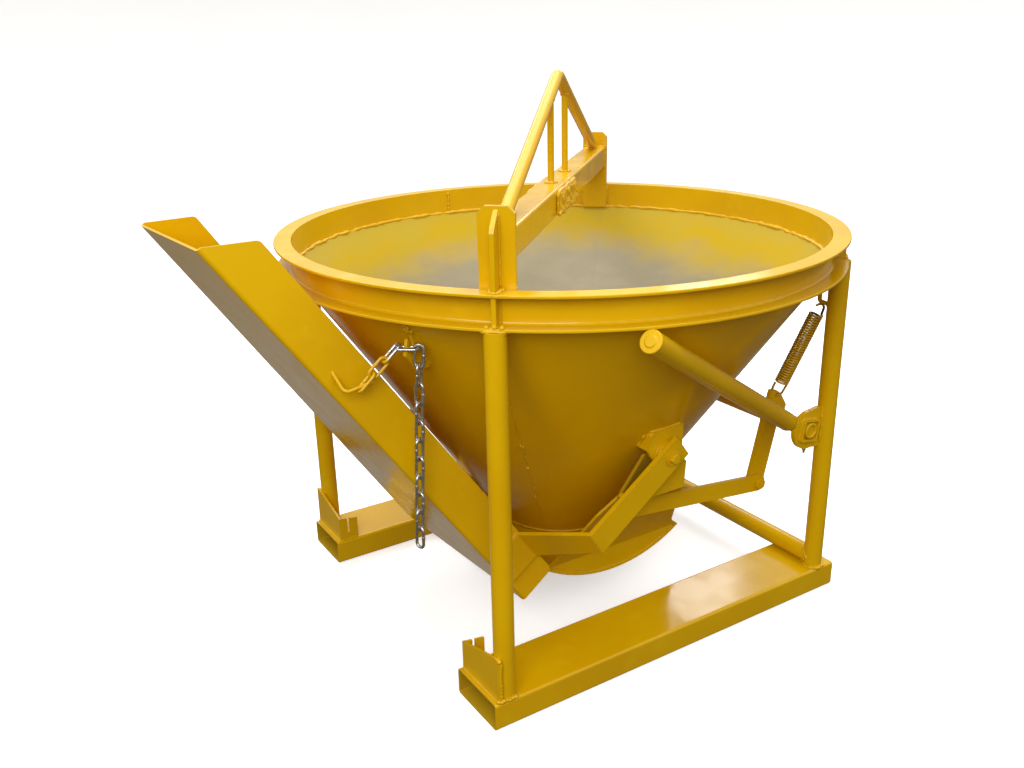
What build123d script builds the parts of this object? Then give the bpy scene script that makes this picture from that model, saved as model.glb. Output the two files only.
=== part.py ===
import os
from math import atan2, cos, degrees, hypot, radians, sin, sqrt, tan

from build123d import *

os.makedirs("parts", exist_ok=True)

# ---------------------------------------------------------------- driving dimensions (mm)
# Floor at Z 0. X runs along the fork pockets (chute end -X, spring end +X), -Y is the handle side.
# AX is the X of the hopper's own axis, so that the whole bucket is centred on X 0.
AX = 133.9

POCKET_X0, POCKET_X1 = -542.0, 552.0
POCKET_W, POCKET_H, POCKET_T = 168.0, 68.0, 4.0
POCKET_Y = 441.0
LEG_X, LEG_Y, LEG_D, LEG_T = 500.0, 498.0, 48.3, 3.2
TIE_D = 48.3

RIM_R, RIM_WEB_R, RIM_WEB_T = 720.0, 678.0, 5.0
RIM_Z0, RIM_Z1, RIM_FLANGE_T = 920.0, 995.0, 7.0
CONE_TOP_Z, CONE_BOTTOM_Z, CONE_BOTTOM_R, CONE_WALL = 922.7, 200.0, 181.0, 4.85

BEAM_W, BEAM_Z0, BEAM_Z1, BEAM_T = 65.0, 1050.0, 1115.0, 5.0
POST_S, POST_T, POST_W, POST_TOP = 676.0, 12.0, 75.0, 1158.0
BAIL_D, BAIL_FOOT_S, BAIL_APEX_Z, BAIL_BEND = 30.0, 632.0, 1358.0, 42.0
KEEPER_D, KEEPER_S = 16.0, 100.0

# pivot of the gate and of the chute
PIV_X, PIV_Z = 0.0, 508.0
BRACKET_Y = 447.0
GATE_R, GATE_T, GATE_W = 405.0, 6.0, 510.0
GATE_HALF_DEG = 33.0
BOSS_Y0, BOSS_Y1, BOSS_R = 424.5, 433.0, 38.0
ARM_Y0, ARM_Y1, ARM_W, ARM_END = 458.0, 470.0, 63.0, 38.5
BOLT_R, RUN = 8.0, 0.05

# operating shaft, bell cranks and links
SHAFT_X, SHAFT_Z, SHAFT_R = 432.0, 485.0, 21.2
CRANK_X, CRANK_Z, CRANK_W = 386.0, 301.0, 58.0
GPIN_X, GPIN_Z = -65.0, 352.5
CRANK_Y0, CRANK_Y1 = 364.5, 376.5
LINK_Y0, LINK_Y1, LINK_W = 378.0, 388.0, 46.0
PIN_R, PIN_SLOP = 8.0, 1.7
HANDLE_END = (-267.0, -692.0, 903.0)
HANDLE_D, HANDLE_FOOT = 48.3, 71.0

# chute: straight folded trough, standing along the hopper
CH_X, CH_Z = -320.2, 138.1
CH_L, CH_WALL, CH_T = 1154.0, 105.0, 5.0
CH_ROLL, CH_SINK = 2.4, 10.5
CH_HALF_LOW, CH_HALF_TOP = 300.0, 200.0
CH_DX, CH_DZ = -0.5653, 0.8249

CHAIN_D, CHAIN_IN, CHAIN_OUT_W, CHAIN_PITCH = 7.0, 43.6, 27.0, 43.0


def hx(x):
    """X in the bucket's frame, from X measured at the hopper's axis."""
    return AX + x


def cone_r(z):
    """Outer radius of the hopper cone at height z."""
    return CONE_BOTTOM_R + (RIM_WEB_R - CONE_BOTTOM_R) * (z - CONE_BOTTOM_Z) / (CONE_TOP_Z - CONE_BOTTOM_Z)


def save(part, name):
    part.label = name
    export_step(part, f"parts/{name}.step")


axis_plane = Plane(origin=(AX, 0, 0))
axis_xz = Plane(origin=(AX, 0, 0), x_dir=(1, 0, 0), z_dir=(0, -1, 0))

# ---------------------------------------------------------------- base frame
with BuildPart() as fork_pocket_near:
    with BuildSketch(Plane(origin=(hx(POCKET_X0), -POCKET_Y, POCKET_H / 2), x_dir=(0, 1, 0), z_dir=(1, 0, 0))):
        RectangleRounded(POCKET_W, POCKET_H, 7)
        RectangleRounded(POCKET_W - 2 * POCKET_T, POCKET_H - 2 * POCKET_T, 3.5, mode=Mode.SUBTRACT)
    extrude(amount=POCKET_X1 - POCKET_X0)
save(fork_pocket_near.part, "fork_pocket_near")

with BuildPart() as fork_pocket_far:
    mirror(fork_pocket_near.part, about=Plane.XZ)
save(fork_pocket_far.part, "fork_pocket_far")

with BuildPart() as leg_near_left:
    with BuildSketch(Plane(origin=(hx(-LEG_X), -LEG_Y, POCKET_H))):
        Circle(LEG_D / 2)
        Circle(LEG_D / 2 - LEG_T, mode=Mode.SUBTRACT)
    extrude(amount=RIM_Z0 - POCKET_H)
save(leg_near_left.part, "leg_near_left")

with BuildPart() as leg_near_right:
    with BuildSketch(Plane(origin=(hx(LEG_X), -LEG_Y, POCKET_H))):
        Circle(LEG_D / 2)
        Circle(LEG_D / 2 - LEG_T, mode=Mode.SUBTRACT)
    extrude(amount=RIM_Z0 - POCKET_H)
save(leg_near_right.part, "leg_near_right")

with BuildPart() as leg_far_left:
    mirror(leg_near_left.part, about=Plane.XZ)
save(leg_far_left.part, "leg_far_left")

with BuildPart() as leg_far_right:
    mirror(leg_near_right.part, about=Plane.XZ)
save(leg_far_right.part, "leg_far_right")

# tie tube across the +X end, its ends coped round the two legs
with BuildPart() as base_tie_tube:
    with BuildSketch(Plane(origin=(hx(LEG_X), 0, POCKET_H + TIE_D / 2), x_dir=(1, 0, 0), z_dir=(0, 1, 0))):
        Circle(TIE_D / 2)
        Circle(TIE_D / 2 - LEG_T, mode=Mode.SUBTRACT)
    extrude(amount=LEG_Y, both=True)
    with BuildSketch(Plane(origin=(AX, 0, POCKET_H - 5))):
        with Locations((LEG_X, -LEG_Y), (LEG_X, LEG_Y)):
            Circle(LEG_D / 2)
    extrude(amount=80, mode=Mode.SUBTRACT)
save(base_tie_tube.part, "base_tie_tube")

# chute rest: upright plate from the leg to the pocket's inner edge, with a slotted return plate
REST_X0, REST_X1, REST_T = -530.3, -474.0, 6.0
with BuildPart() as chute_rest_near:
    with BuildSketch(Plane(origin=(hx(REST_X0), 0, 0), x_dir=(0, 1, 0), z_dir=(1, 0, 0))):
        with BuildLine():
            Polyline((-361, POCKET_H), (-361, 139.5), (-508, 179), (-519, 177), (-521, POCKET_H), close=True)
        make_face()
    extrude(amount=REST_T)
    with BuildSketch(Plane(origin=(0, -361, 0), x_dir=(1, 0, 0), z_dir=(0, -1, 0))):
        with BuildLine():
            Polyline((hx(REST_X0), POCKET_H), (hx(REST_X1), POCKET_H), (hx(REST_X1), 131), (hx(REST_X0), 139.5), close=True)
        make_face()
        with Locations((hx(-502), 132)):
            Rectangle(8, 84, mode=Mode.SUBTRACT)
    extrude(amount=REST_T)
save(chute_rest_near.part, "chute_rest_near")

with BuildPart() as chute_rest_far:
    mirror(chute_rest_near.part, about=Plane.XZ)
save(chute_rest_far.part, "chute_rest_far")

# ---------------------------------------------------------------- hopper
# the rim is a rolled channel in two lengths, butted behind a post and at one place on the far side
RIM_JOINTS = (85.9, degrees(atan2(LEG_Y, LEG_X)) + 180)


def turned(deg):
    """Upright plane through the hopper's axis, local X pointing out at that azimuth."""
    return Plane(origin=(AX, 0, 0), x_dir=(cos(radians(deg)), sin(radians(deg)), 0), z_dir=(sin(radians(deg)), -cos(radians(deg)), 0))


hopper_axis = Axis((AX, 0, 0), (0, 0, 1))
rim_outline = [
    (RIM_WEB_R, RIM_Z0),
    (RIM_R, RIM_Z0),
    (RIM_R, RIM_Z0 + RIM_FLANGE_T),
    (RIM_WEB_R + RIM_WEB_T, RIM_Z0 + RIM_FLANGE_T),
    (RIM_WEB_R + RIM_WEB_T, RIM_Z1 - RIM_FLANGE_T),
    (RIM_R, RIM_Z1 - RIM_FLANGE_T),
    (RIM_R, RIM_Z1),
    (RIM_WEB_R, RIM_Z1),
]
with BuildSketch() as rim_profile:
    with BuildLine():
        Polyline(*rim_outline, close=True)
    make_face()
    fillet(rim_profile.vertices().filter_by(lambda v: abs(v.X - RIM_WEB_R - RIM_WEB_T) < 0.01), 6)
    fillet(rim_profile.vertices().filter_by(lambda v: v.X > RIM_R - 0.01), 2)

with BuildPart() as hopper_rim_left:
    with BuildSketch(turned(RIM_JOINTS[0])):
        add(rim_profile.sketch)
    revolve(axis=hopper_axis, revolution_arc=RIM_JOINTS[1] - RIM_JOINTS[0])
save(hopper_rim_left.part, "hopper_rim_left")

with BuildPart() as hopper_rim_right:
    with BuildSketch(turned(RIM_JOINTS[1])):
        add(rim_profile.sketch)
    revolve(axis=hopper_axis, revolution_arc=360 + RIM_JOINTS[0] - RIM_JOINTS[1])
save(hopper_rim_right.part, "hopper_rim_right")

# stiffener plates inside the rim channel, one above each leg
with BuildPart() as rim_ribs:
    for k in range(4):
        deg = degrees(atan2(LEG_Y, LEG_X)) + [180, -90, 0, 90][k] + [0, 0.23, 0, 0.23][k]
        with BuildSketch(Plane(origin=(AX, 0, 0), x_dir=(cos(radians(deg)), sin(radians(deg)), 0), z_dir=(sin(radians(deg)), -cos(radians(deg)), 0))):
            with BuildLine():
                Polyline(
                    (RIM_WEB_R + RIM_WEB_T + 0.5, RIM_Z0 + RIM_FLANGE_T + 6),
                    (RIM_WEB_R + RIM_WEB_T + 6.5, RIM_Z0 + RIM_FLANGE_T),
                    (RIM_R - 5, RIM_Z0 + RIM_FLANGE_T),
                    (RIM_R - 5, RIM_Z1 - RIM_FLANGE_T),
                    (RIM_WEB_R + RIM_WEB_T + 6.5, RIM_Z1 - RIM_FLANGE_T),
                    (RIM_WEB_R + RIM_WEB_T + 0.5, RIM_Z1 - RIM_FLANGE_T - 6),
                    close=True,
                )
            make_face()
        extrude(amount=5, both=True)
save(rim_ribs.part, "rim_ribs")

# the cone is rolled from four plates, with seams between them
CONE_SEAM = 223.0
cone_outline = [
    (CONE_BOTTOM_R - CONE_WALL, CONE_BOTTOM_Z),
    (CONE_BOTTOM_R, CONE_BOTTOM_Z),
    (RIM_WEB_R, CONE_TOP_Z),
    (RIM_WEB_R - CONE_WALL, CONE_TOP_Z),
]
with BuildPart() as cone_plate_near:
    with BuildSketch(turned(CONE_SEAM + 0)):
        with BuildLine():
            Polyline(*cone_outline, close=True)
        make_face()
    revolve(axis=hopper_axis, revolution_arc=90)
save(cone_plate_near.part, "cone_plate_near")

with BuildPart() as cone_plate_right:
    with BuildSketch(turned(CONE_SEAM + 90)):
        with BuildLine():
            Polyline(*cone_outline, close=True)
        make_face()
    revolve(axis=hopper_axis, revolution_arc=90)
save(cone_plate_right.part, "cone_plate_right")

with BuildPart() as cone_plate_far:
    with BuildSketch(turned(CONE_SEAM + 180)):
        with BuildLine():
            Polyline(*cone_outline, close=True)
        make_face()
    revolve(axis=hopper_axis, revolution_arc=90)
save(cone_plate_far.part, "cone_plate_far")

with BuildPart() as cone_plate_left:
    with BuildSketch(turned(CONE_SEAM + 270)):
        with BuildLine():
            Polyline(*cone_outline, close=True)
        make_face()
    revolve(axis=hopper_axis, revolution_arc=90)
save(cone_plate_left.part, "cone_plate_left")

# outlet collar: short spigot whose lower edge follows the gate's sweep
pivot_xz = Plane(origin=(hx(PIV_X), 0, PIV_Z), x_dir=(1, 0, 0), z_dir=(0, -1, 0))
with BuildPart() as outlet_collar:
    with BuildSketch(axis_plane.offset(90)):
        Circle(CONE_BOTTOM_R)
        Circle(CONE_BOTTOM_R - 5, mode=Mode.SUBTRACT)
    extrude(amount=CONE_BOTTOM_Z - 90)
    with BuildSketch(pivot_xz):
        Circle(GATE_R - GATE_T - 3)
    extrude(amount=300, both=True, mode=Mode.INTERSECT)
save(outlet_collar.part, "outlet_collar")

# ---------------------------------------------------------------- lifting gear, on the diagonal through two legs
DIAG = degrees(atan2(LEG_Y, LEG_X))
diag_dir = Vector(cos(radians(DIAG)), sin(radians(DIAG)), 0)
diag_side = Vector(-sin(radians(DIAG)), cos(radians(DIAG)), 0)
diag_face = Plane(origin=(AX, 0, 0), x_dir=diag_dir, z_dir=-diag_side)
diag_end = Plane(origin=Vector(AX, 0, 0) - diag_dir * (POST_S - POST_T), x_dir=diag_side, z_dir=diag_dir)

with BuildPart() as lifting_beam:
    with BuildSketch(diag_end):
        with Locations((0, (BEAM_Z0 + BEAM_Z1) / 2)):
            RectangleRounded(BEAM_W, BEAM_Z1 - BEAM_Z0, 7)
            RectangleRounded(BEAM_W - 2 * BEAM_T, BEAM_Z1 - BEAM_Z0 - 2 * BEAM_T, 2.5, mode=Mode.SUBTRACT)
    extrude(amount=2 * (POST_S - POST_T))
save(lifting_beam.part, "lifting_beam")

with BuildPart() as beam_posts:
    for side in (-1, 1):
        with BuildSketch(Plane(origin=Vector(AX, 0, 0) + diag_dir * (side * POST_S), x_dir=diag_side * -side, z_dir=diag_dir * -side)):
            with BuildLine():
                Polyline(
                    (-POST_W / 2, CONE_TOP_Z + 1),
                    (POST_W / 2, CONE_TOP_Z + 1),
                    (POST_W / 2, POST_TOP - 14),
                    (POST_W / 2 - 14, POST_TOP),
                    (14 - POST_W / 2, POST_TOP),
                    (-POST_W / 2, POST_TOP - 14),
                    close=True,
                )
            make_face()
        extrude(amount=POST_T)
save(beam_posts.part, "beam_posts")

# outer ribs that brace the posts on the rim's top flange
with BuildPart() as post_ribs:
    with BuildSketch(diag_face):
        for side in (-1, 1):
            with BuildLine():
                Polyline(
                    (side * (POST_S + 0.2), RIM_Z1),
                    (side * (RIM_R - 4), RIM_Z1),
                    (side * (RIM_R - 4), 1112),
                    (side * (RIM_R - 8), 1122),
                    (side * (POST_S + 0.2), 1152),
                    close=True,
                )
            make_face()
    extrude(amount=5, both=True)
save(post_ribs.part, "post_ribs")

# doubler plates on the beam's sides below the hook point
DOUBLER_S0, DOUBLER_S1 = -200.0, 40.0
with BuildPart() as beam_doublers:
    for side in (-1, 1):
        with BuildSketch(Plane(origin=Vector(AX, 0, (BEAM_Z0 + BEAM_Z1) / 2) + diag_dir * ((DOUBLER_S0 + DOUBLER_S1) / 2) + diag_side * (side * BEAM_W / 2), x_dir=diag_dir, z_dir=diag_side * side)):
            RectangleRounded(DOUBLER_S1 - DOUBLER_S0, 50, 4)
        extrude(amount=8)
save(beam_doublers.part, "beam_doublers")

# bail: round bar bent to an inverted V over the beam
with BuildPart() as lifting_bail:
    with BuildLine(diag_face) as bail_line:
        FilletPolyline((-BAIL_FOOT_S, BEAM_Z1), (0, BAIL_APEX_Z + 6), (BAIL_FOOT_S, BEAM_Z1), radius=BAIL_BEND)
    with BuildSketch(Plane(origin=bail_line.line @ 0, z_dir=bail_line.line % 0)):
        Circle(BAIL_D / 2)
    sweep()
    # feet cut flush with the beam's top face
    with BuildSketch(Plane(origin=(AX, 0, BEAM_Z1))):
        Rectangle(2000, 2000)
    extrude(amount=-80, mode=Mode.SUBTRACT)
save(lifting_bail.part, "lifting_bail")

# two upright keeper rods between the beam and the bail, either side of the hook point
bail_slope = (BAIL_APEX_Z + 6 - BEAM_Z1) / BAIL_FOOT_S
keeper_top = BAIL_APEX_Z + 6 - bail_slope * KEEPER_S - BAIL_D / 2 * sqrt(1 + bail_slope**2)
with BuildPart() as bail_keepers:
    for side in (-1, 1):
        with BuildSketch(Plane(origin=Vector(AX, 0, BEAM_Z1) + diag_dir * (side * KEEPER_S))):
            Circle(KEEPER_D / 2)
        extrude(amount=keeper_top - BEAM_Z1 + 12)
    with BuildLine(diag_face) as bail_copy:
        Polyline((-BAIL_FOOT_S, BEAM_Z1), (0, BAIL_APEX_Z + 6), (BAIL_FOOT_S, BEAM_Z1))
    for end in (-1, 1):
        foot = Vector(AX, 0, BEAM_Z1) + diag_dir * (end * BAIL_FOOT_S)
        top = Vector(AX, 0, BAIL_APEX_Z + 6)
        with BuildSketch(Plane(origin=foot, z_dir=top - foot)):
            Circle(BAIL_D / 2)
        extrude(amount=(top - foot).length, mode=Mode.SUBTRACT)
    # keep only the stubs below the bail
    with BuildSketch(Plane(origin=(AX, 0, BEAM_Z1))):
        Rectangle(600, 600)
    extrude(amount=keeper_top - BEAM_Z1 + 4, mode=Mode.INTERSECT)
save(bail_keepers.part, "bail_keepers")

# ---------------------------------------------------------------- gate and chute pivots on the cone
BRACKET = [(-54, 17), (-47, 2), (-20, -34), (46, -34), (51, 67), (-43, 64), (-50, 57)]
with BuildPart() as pivot_bracket_near:
    with BuildSketch(Plane(origin=(hx(PIV_X), -BRACKET_Y, PIV_Z), x_dir=(1, 0, 0), z_dir=(0, -1, 0))):
        with BuildLine():
            Polyline(*BRACKET, close=True)
        make_face()
    extrude(amount=-10)
    # side cheek and top plate back to the cone
    with BuildSketch(Plane(origin=(hx(PIV_X), -BRACKET_Y + 10, PIV_Z), x_dir=(1, 0, 0), z_dir=(0, -1, 0))):
        with BuildLine():
            Polyline((-54, 18), (-46, 18), (-46, 60), (-50, 57), close=True)
        make_face()
        with BuildLine():
            Polyline((-49, 53), (50, 59), (51, 67), (-43, 64), (-50, 57), close=True)
        make_face()
    extrude(amount=-170)
    with BuildSketch(axis_xz):
        with BuildLine():
            Polyline((0, CONE_BOTTOM_Z), (CONE_BOTTOM_R, CONE_BOTTOM_Z), (RIM_WEB_R, CONE_TOP_Z), (0, CONE_TOP_Z), close=True)
        make_face()
    revolve(axis=Axis((AX, 0, 0), (0, 0, 1)), mode=Mode.SUBTRACT)
    with BuildSketch(pivot_xz):
        Circle(BOLT_R + RUN)
    extrude(amount=500, mode=Mode.SUBTRACT)
save(pivot_bracket_near.part, "pivot_bracket_near")

with BuildPart() as pivot_bracket_far:
    mirror(pivot_bracket_near.part, about=Plane.XZ)
save(pivot_bracket_far.part, "pivot_bracket_far")

# pivot bolts: hex head outside the chute arm, shank through arm, bracket and gate boss
with BuildPart() as pivot_bolts:
    for side in (-1, 1):
        face = Plane(origin=(hx(PIV_X), side * (ARM_Y1 + 3.5), PIV_Z), x_dir=(1, 0, 0), z_dir=(0, side, 0))
        with BuildSketch(face):
            RegularPolygon(radius=14, side_count=6, rotation=12)
        extrude(amount=11)
        with BuildSketch(face):
            Circle(BOLT_R)
        extrude(amount=-(ARM_Y1 + 3.5 - (BOSS_Y0 - 16.5)))
    chamfer(pivot_bolts.faces().sort_by(Axis.Y)[0].edges(), 2)
    chamfer(pivot_bolts.faces().sort_by(Axis.Y)[-1].edges(), 2)
save(pivot_bolts.part, "pivot_bolts")

with BuildPart() as pivot_washers:
    for side in (-1, 1):
        for y0, y1, r in ((ARM_Y1 + 0.4, ARM_Y1 + 3.1, 22), (BOSS_Y1 + 0.4, BRACKET_Y - 10.4, 30), (BOSS_Y0 - 3.4, BOSS_Y0 - 0.4, 17)):
            with BuildSketch(Plane(origin=(hx(PIV_X), side * y0, PIV_Z), x_dir=(1, 0, 0), z_dir=(0, side, 0))):
                Circle(r)
                Circle(BOLT_R + 0.5, mode=Mode.SUBTRACT)
            extrude(amount=y1 - y0)
save(pivot_washers.part, "pivot_washers")

with BuildPart() as pivot_nuts:
    for side in (-1, 1):
        with BuildSketch(Plane(origin=(hx(PIV_X), side * (BOSS_Y0 - 3.8), PIV_Z), x_dir=(1, 0, 0), z_dir=(0, -side, 0))):
            RegularPolygon(radius=14, side_count=6)
            Circle(BOLT_R + 0.02, mode=Mode.SUBTRACT)
        extrude(amount=9.5)
save(pivot_nuts.part, "pivot_nuts")

# spacer rings between the brackets and the chute arms
with BuildPart() as pivot_spacers:
    for side in (-1, 1):
        for y0, y1, r in ((BRACKET_Y + 0.6, BRACKET_Y + 5.2, 39), (BRACKET_Y + 5.6, ARM_Y0 - 0.4, 35)):
            with BuildSketch(Plane(origin=(hx(PIV_X), side * y0, PIV_Z), x_dir=(1, 0, 0), z_dir=(0, side, 0))):
                Circle(r)
                Circle(BOLT_R + 0.5, mode=Mode.SUBTRACT)
            extrude(amount=y1 - y0)
save(pivot_spacers.part, "pivot_spacers")

# ---------------------------------------------------------------- gate
with BuildPart() as gate_plate:
    with BuildSketch(pivot_xz):
        with BuildLine():
            CenterArc((0, 0), GATE_R, -90 - GATE_HALF_DEG, 2 * GATE_HALF_DEG)
            CenterArc((0, 0), GATE_R - GATE_T, -90 - GATE_HALF_DEG, 2 * GATE_HALF_DEG)
            for s in (-1, 1):
                a = radians(-90 + s * GATE_HALF_DEG)
                Line((GATE_R * cos(a), GATE_R * sin(a)), ((GATE_R - GATE_T) * cos(a), (GATE_R - GATE_T) * sin(a)))
        make_face()
    extrude(amount=GATE_W / 2, both=True)
save(gate_plate.part, "gate_plate")

# side plate: upright segment on the gate plate, leaning web, upright boss round the pivot bolt
SEG_DEG = GATE_HALF_DEG - 0.6
SEG_R = GATE_R - GATE_T
SEG_X, SEG_Z = SEG_R * sin(radians(SEG_DEG)), -SEG_R * cos(radians(SEG_DEG))
SIDE_Y0, SIDE_Y1 = GATE_W / 2 - 11, GATE_W / 2 - 5
LEAN_TOP_Z, LEAN_Y = -106.0, 384.0
SIDE_Y = (SIDE_Y0 + SIDE_Y1) / 2
lean_from = Vector(hx(PIV_X), -SIDE_Y, PIV_Z + SEG_Z)
lean_to = Vector(hx(PIV_X), -LEAN_Y, PIV_Z + LEAN_TOP_Z)
lean_len = (lean_to - lean_from).length
lean_dir = (lean_to - lean_from).normalized()
lean_plane = Plane(origin=lean_from, x_dir=(1, 0, 0), z_dir=Vector(1, 0, 0).cross(lean_dir))
lean_in = 1 if lean_plane.z_dir.Y > 0 else -1
with BuildPart() as gate_side_near:
    with BuildSketch(Plane(origin=(hx(PIV_X), -SIDE_Y0, PIV_Z), x_dir=(1, 0, 0), z_dir=(0, -1, 0))):
        with BuildLine():
            CenterArc((0, 0), SEG_R, -90 - SEG_DEG, 2 * SEG_DEG)
            Line((SEG_X, SEG_Z), (-SEG_X, SEG_Z))
        make_face()
    extrude(amount=SIDE_Y1 - SIDE_Y0)
    with BuildSketch(lean_plane):
        with BuildLine():
            Polyline((3 - SEG_X, 0), (SEG_X - 3, 0), (186, lean_len * 0.14), (140, lean_len * 0.733), (110, lean_len), (-85, lean_len), (-130, lean_len * 0.733), (-188, lean_len * 0.14), close=True)
        make_face()
    extrude(amount=3.5, both=True)
    # rounded fold between segment and web
    with BuildSketch(Plane(origin=lean_from + Vector(6 - SEG_X, 0, 0), z_dir=(1, 0, 0))):
        Circle(3.5)
    extrude(amount=2 * SEG_X - 12)
    # shelf that carries the upright boss plate further out, inside the bracket, with a wing to the chute side
    with BuildSketch(Plane(origin=(hx(PIV_X), -LEAN_Y + 3, PIV_Z), x_dir=(1, 0, 0), z_dir=(0, -1, 0))):
        with BuildLine():
            Polyline((-70, LEAN_TOP_Z - 6), (73, LEAN_TOP_Z - 6), (73, LEAN_TOP_Z + 6), (-70, LEAN_TOP_Z + 6), close=True)
        make_face()
    extrude(amount=BOSS_Y1 - LEAN_Y + 3)
    with BuildSketch(Plane(origin=(hx(PIV_X), -BOSS_Y0, PIV_Z), x_dir=(1, 0, 0), z_dir=(0, -1, 0))):
        with BuildLine():
            Polyline(
                (-57, 7.5), (-122.5, -71.5), (-131, -86), (-121, -96), (-70, LEAN_TOP_Z - 6), (73, LEAN_TOP_Z - 6),
                (77.5, -43), (60, -24), (32, 14), (-32, 12), close=True,
            )
        make_face()
        Circle(BOSS_R)
    extrude(amount=BOSS_Y1 - BOSS_Y0)
    # lug that carries the link pin, trimmed to the web's outer side
    with BuildSketch(Plane(origin=(hx(GPIN_X), -(LINK_Y0 - 1.5), GPIN_Z), x_dir=(1, 0, 0), z_dir=(0, 1, 0))):
        Circle(20)
    extrude(amount=44)
    with BuildSketch(lean_plane.offset(3.4 * lean_in)):
        with Locations((GPIN_X - PIV_X, (GPIN_Z - PIV_Z - SEG_Z) * lean_len / (LEAN_TOP_Z - SEG_Z))):
            Rectangle(90, 90)
    extrude(amount=70 * lean_in, mode=Mode.SUBTRACT)
    with BuildSketch(pivot_xz):
        Circle(BOLT_R + RUN)
    extrude(amount=600, mode=Mode.SUBTRACT)
save(gate_side_near.part, "gate_side_near")

with BuildPart() as gate_side_far:
    mirror(gate_side_near.part, about=Plane.XZ)
save(gate_side_far.part, "gate_side_far")

# link pins welded in the gate's lugs, with hex heads outside the links
with BuildPart() as gate_pins:
    for side in (-1, 1):
        head = Plane(origin=(hx(GPIN_X), side * (LINK_Y1 + 1.5), GPIN_Z), x_dir=(1, 0, 0), z_dir=(0, side, 0))
        with BuildSketch(head):
            RegularPolygon(radius=15, side_count=6)
        extrude(amount=10)
        with BuildSketch(head):
            Circle(PIN_R)
        extrude(amount=-(LINK_Y1 + 1.5 - LINK_Y0 + 1.5))
save(gate_pins.part, "gate_pins")

# bolt heads at the lower corners of the boss plates' wings
with BuildPart() as gate_stop_bolts:
    for side in (-1, 1):
        with BuildSketch(Plane(origin=(hx(PIV_X - 124), side * BOSS_Y1, PIV_Z - 80), x_dir=(1, 0, 0), z_dir=(0, side, 0))):
            RegularPolygon(radius=8, side_count=6)
        extrude(amount=7)
save(gate_stop_bolts.part, "gate_stop_bolts")

# ---------------------------------------------------------------- operating shaft, handle, bell cranks and links
SHAFT_END = 513.0
shaft_xz = Plane(origin=(hx(SHAFT_X), 0, SHAFT_Z), x_dir=(1, 0, 0), z_dir=(0, -1, 0))
with BuildPart() as cross_shaft:
    with BuildSketch(shaft_xz):
        Circle(SHAFT_R)
        Circle(SHAFT_R - 4, mode=Mode.SUBTRACT)
    extrude(amount=SHAFT_END, both=True)
    # thick end rings with a rounded outer edge
    for side in (-1, 1):
        with BuildSketch(Plane(origin=(hx(SHAFT_X), side * SHAFT_END, SHAFT_Z), x_dir=(1, 0, 0), z_dir=(0, -side, 0))):
            Circle(SHAFT_R - 3.5)
            Circle(13.5, mode=Mode.SUBTRACT)
        extrude(amount=9)
    chamfer(cross_shaft.faces().sort_by(Axis.Y)[0].edges(), 1.6)
    chamfer(cross_shaft.faces().sort_by(Axis.Y)[-1].edges(), 1.6)
save(cross_shaft.part, "cross_shaft")

with BuildPart() as shaft_plugs:
    for side in (-1, 1):
        with BuildSketch(Plane(origin=(hx(SHAFT_X), side * (SHAFT_END - 4), SHAFT_Z), x_dir=(1, 0, 0), z_dir=(0, -side, 0))):
            Circle(13.5)
        extrude(amount=8)
save(shaft_plugs.part, "shaft_plugs")

# bearing plates on the two +X legs, round at the shaft and running back to the leg
with BuildPart() as shaft_bearing_near:
    with BuildSketch(Plane(origin=(hx(SHAFT_X), -490, SHAFT_Z), x_dir=(1, 0, 0), z_dir=(0, -1, 0))):
        Circle(52)
        with BuildLine():
            Polyline((-30, 42), (0, 52), (28, 55), (62, 53), (62, -50), (36, -55), (10, -51), (-30, -42), close=True)
        make_face()
        Circle(SHAFT_R + RUN, mode=Mode.SUBTRACT)
    extrude(amount=12)
    with BuildSketch(Plane(origin=(hx(LEG_X), -LEG_Y, 380))):
        Circle(LEG_D / 2)
    extrude(amount=200, mode=Mode.SUBTRACT)
save(shaft_bearing_near.part, "shaft_bearing_near")

with BuildPart() as shaft_bearing_far:
    mirror(shaft_bearing_near.part, about=Plane.XZ)
save(shaft_bearing_far.part, "shaft_bearing_far")

# square keeper plates welded on the bearing plates round the shaft ends
with BuildPart() as shaft_keepers:
    for side in (-1, 1):
        with BuildSketch(Plane(origin=(hx(SHAFT_X), side * 502, SHAFT_Z), x_dir=(1, 0, 0), z_dir=(0, side, 0))):
            with Locations(Location((0, 0, 0), (0, 0, 10 * side))):
                RectangleRounded(61, 61, 6)
                RectangleRounded(47, 47, 5, mode=Mode.SUBTRACT)
        extrude(amount=9)
    with BuildSketch(Plane(origin=(hx(LEG_X), -LEG_Y, 380))):
        Circle(LEG_D / 2)
    extrude(amount=200, mode=Mode.SUBTRACT)
    with BuildSketch(Plane(origin=(hx(LEG_X), LEG_Y, 380))):
        Circle(LEG_D / 2)
    extrude(amount=200, mode=Mode.SUBTRACT)
save(shaft_keepers.part, "shaft_keepers")

# grease nipples under the bearing plates
with BuildPart() as grease_nipples:
    for side in (-1, 1):
        with BuildSketch(Plane(origin=(hx(SHAFT_X - 5), side * 496, SHAFT_Z - 52.1), x_dir=(1, 0, 0), z_dir=(0, 0, -1))):
            RegularPolygon(radius=5, side_count=6)
        extrude(amount=6)
        with BuildSketch(Plane(origin=(hx(SHAFT_X - 5), side * 496, SHAFT_Z - 58.1), x_dir=(1, 0, 0), z_dir=(0, 0, -1))):
            Circle(3)
        extrude(amount=7)
save(grease_nipples.part, "grease_nipples")

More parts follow.
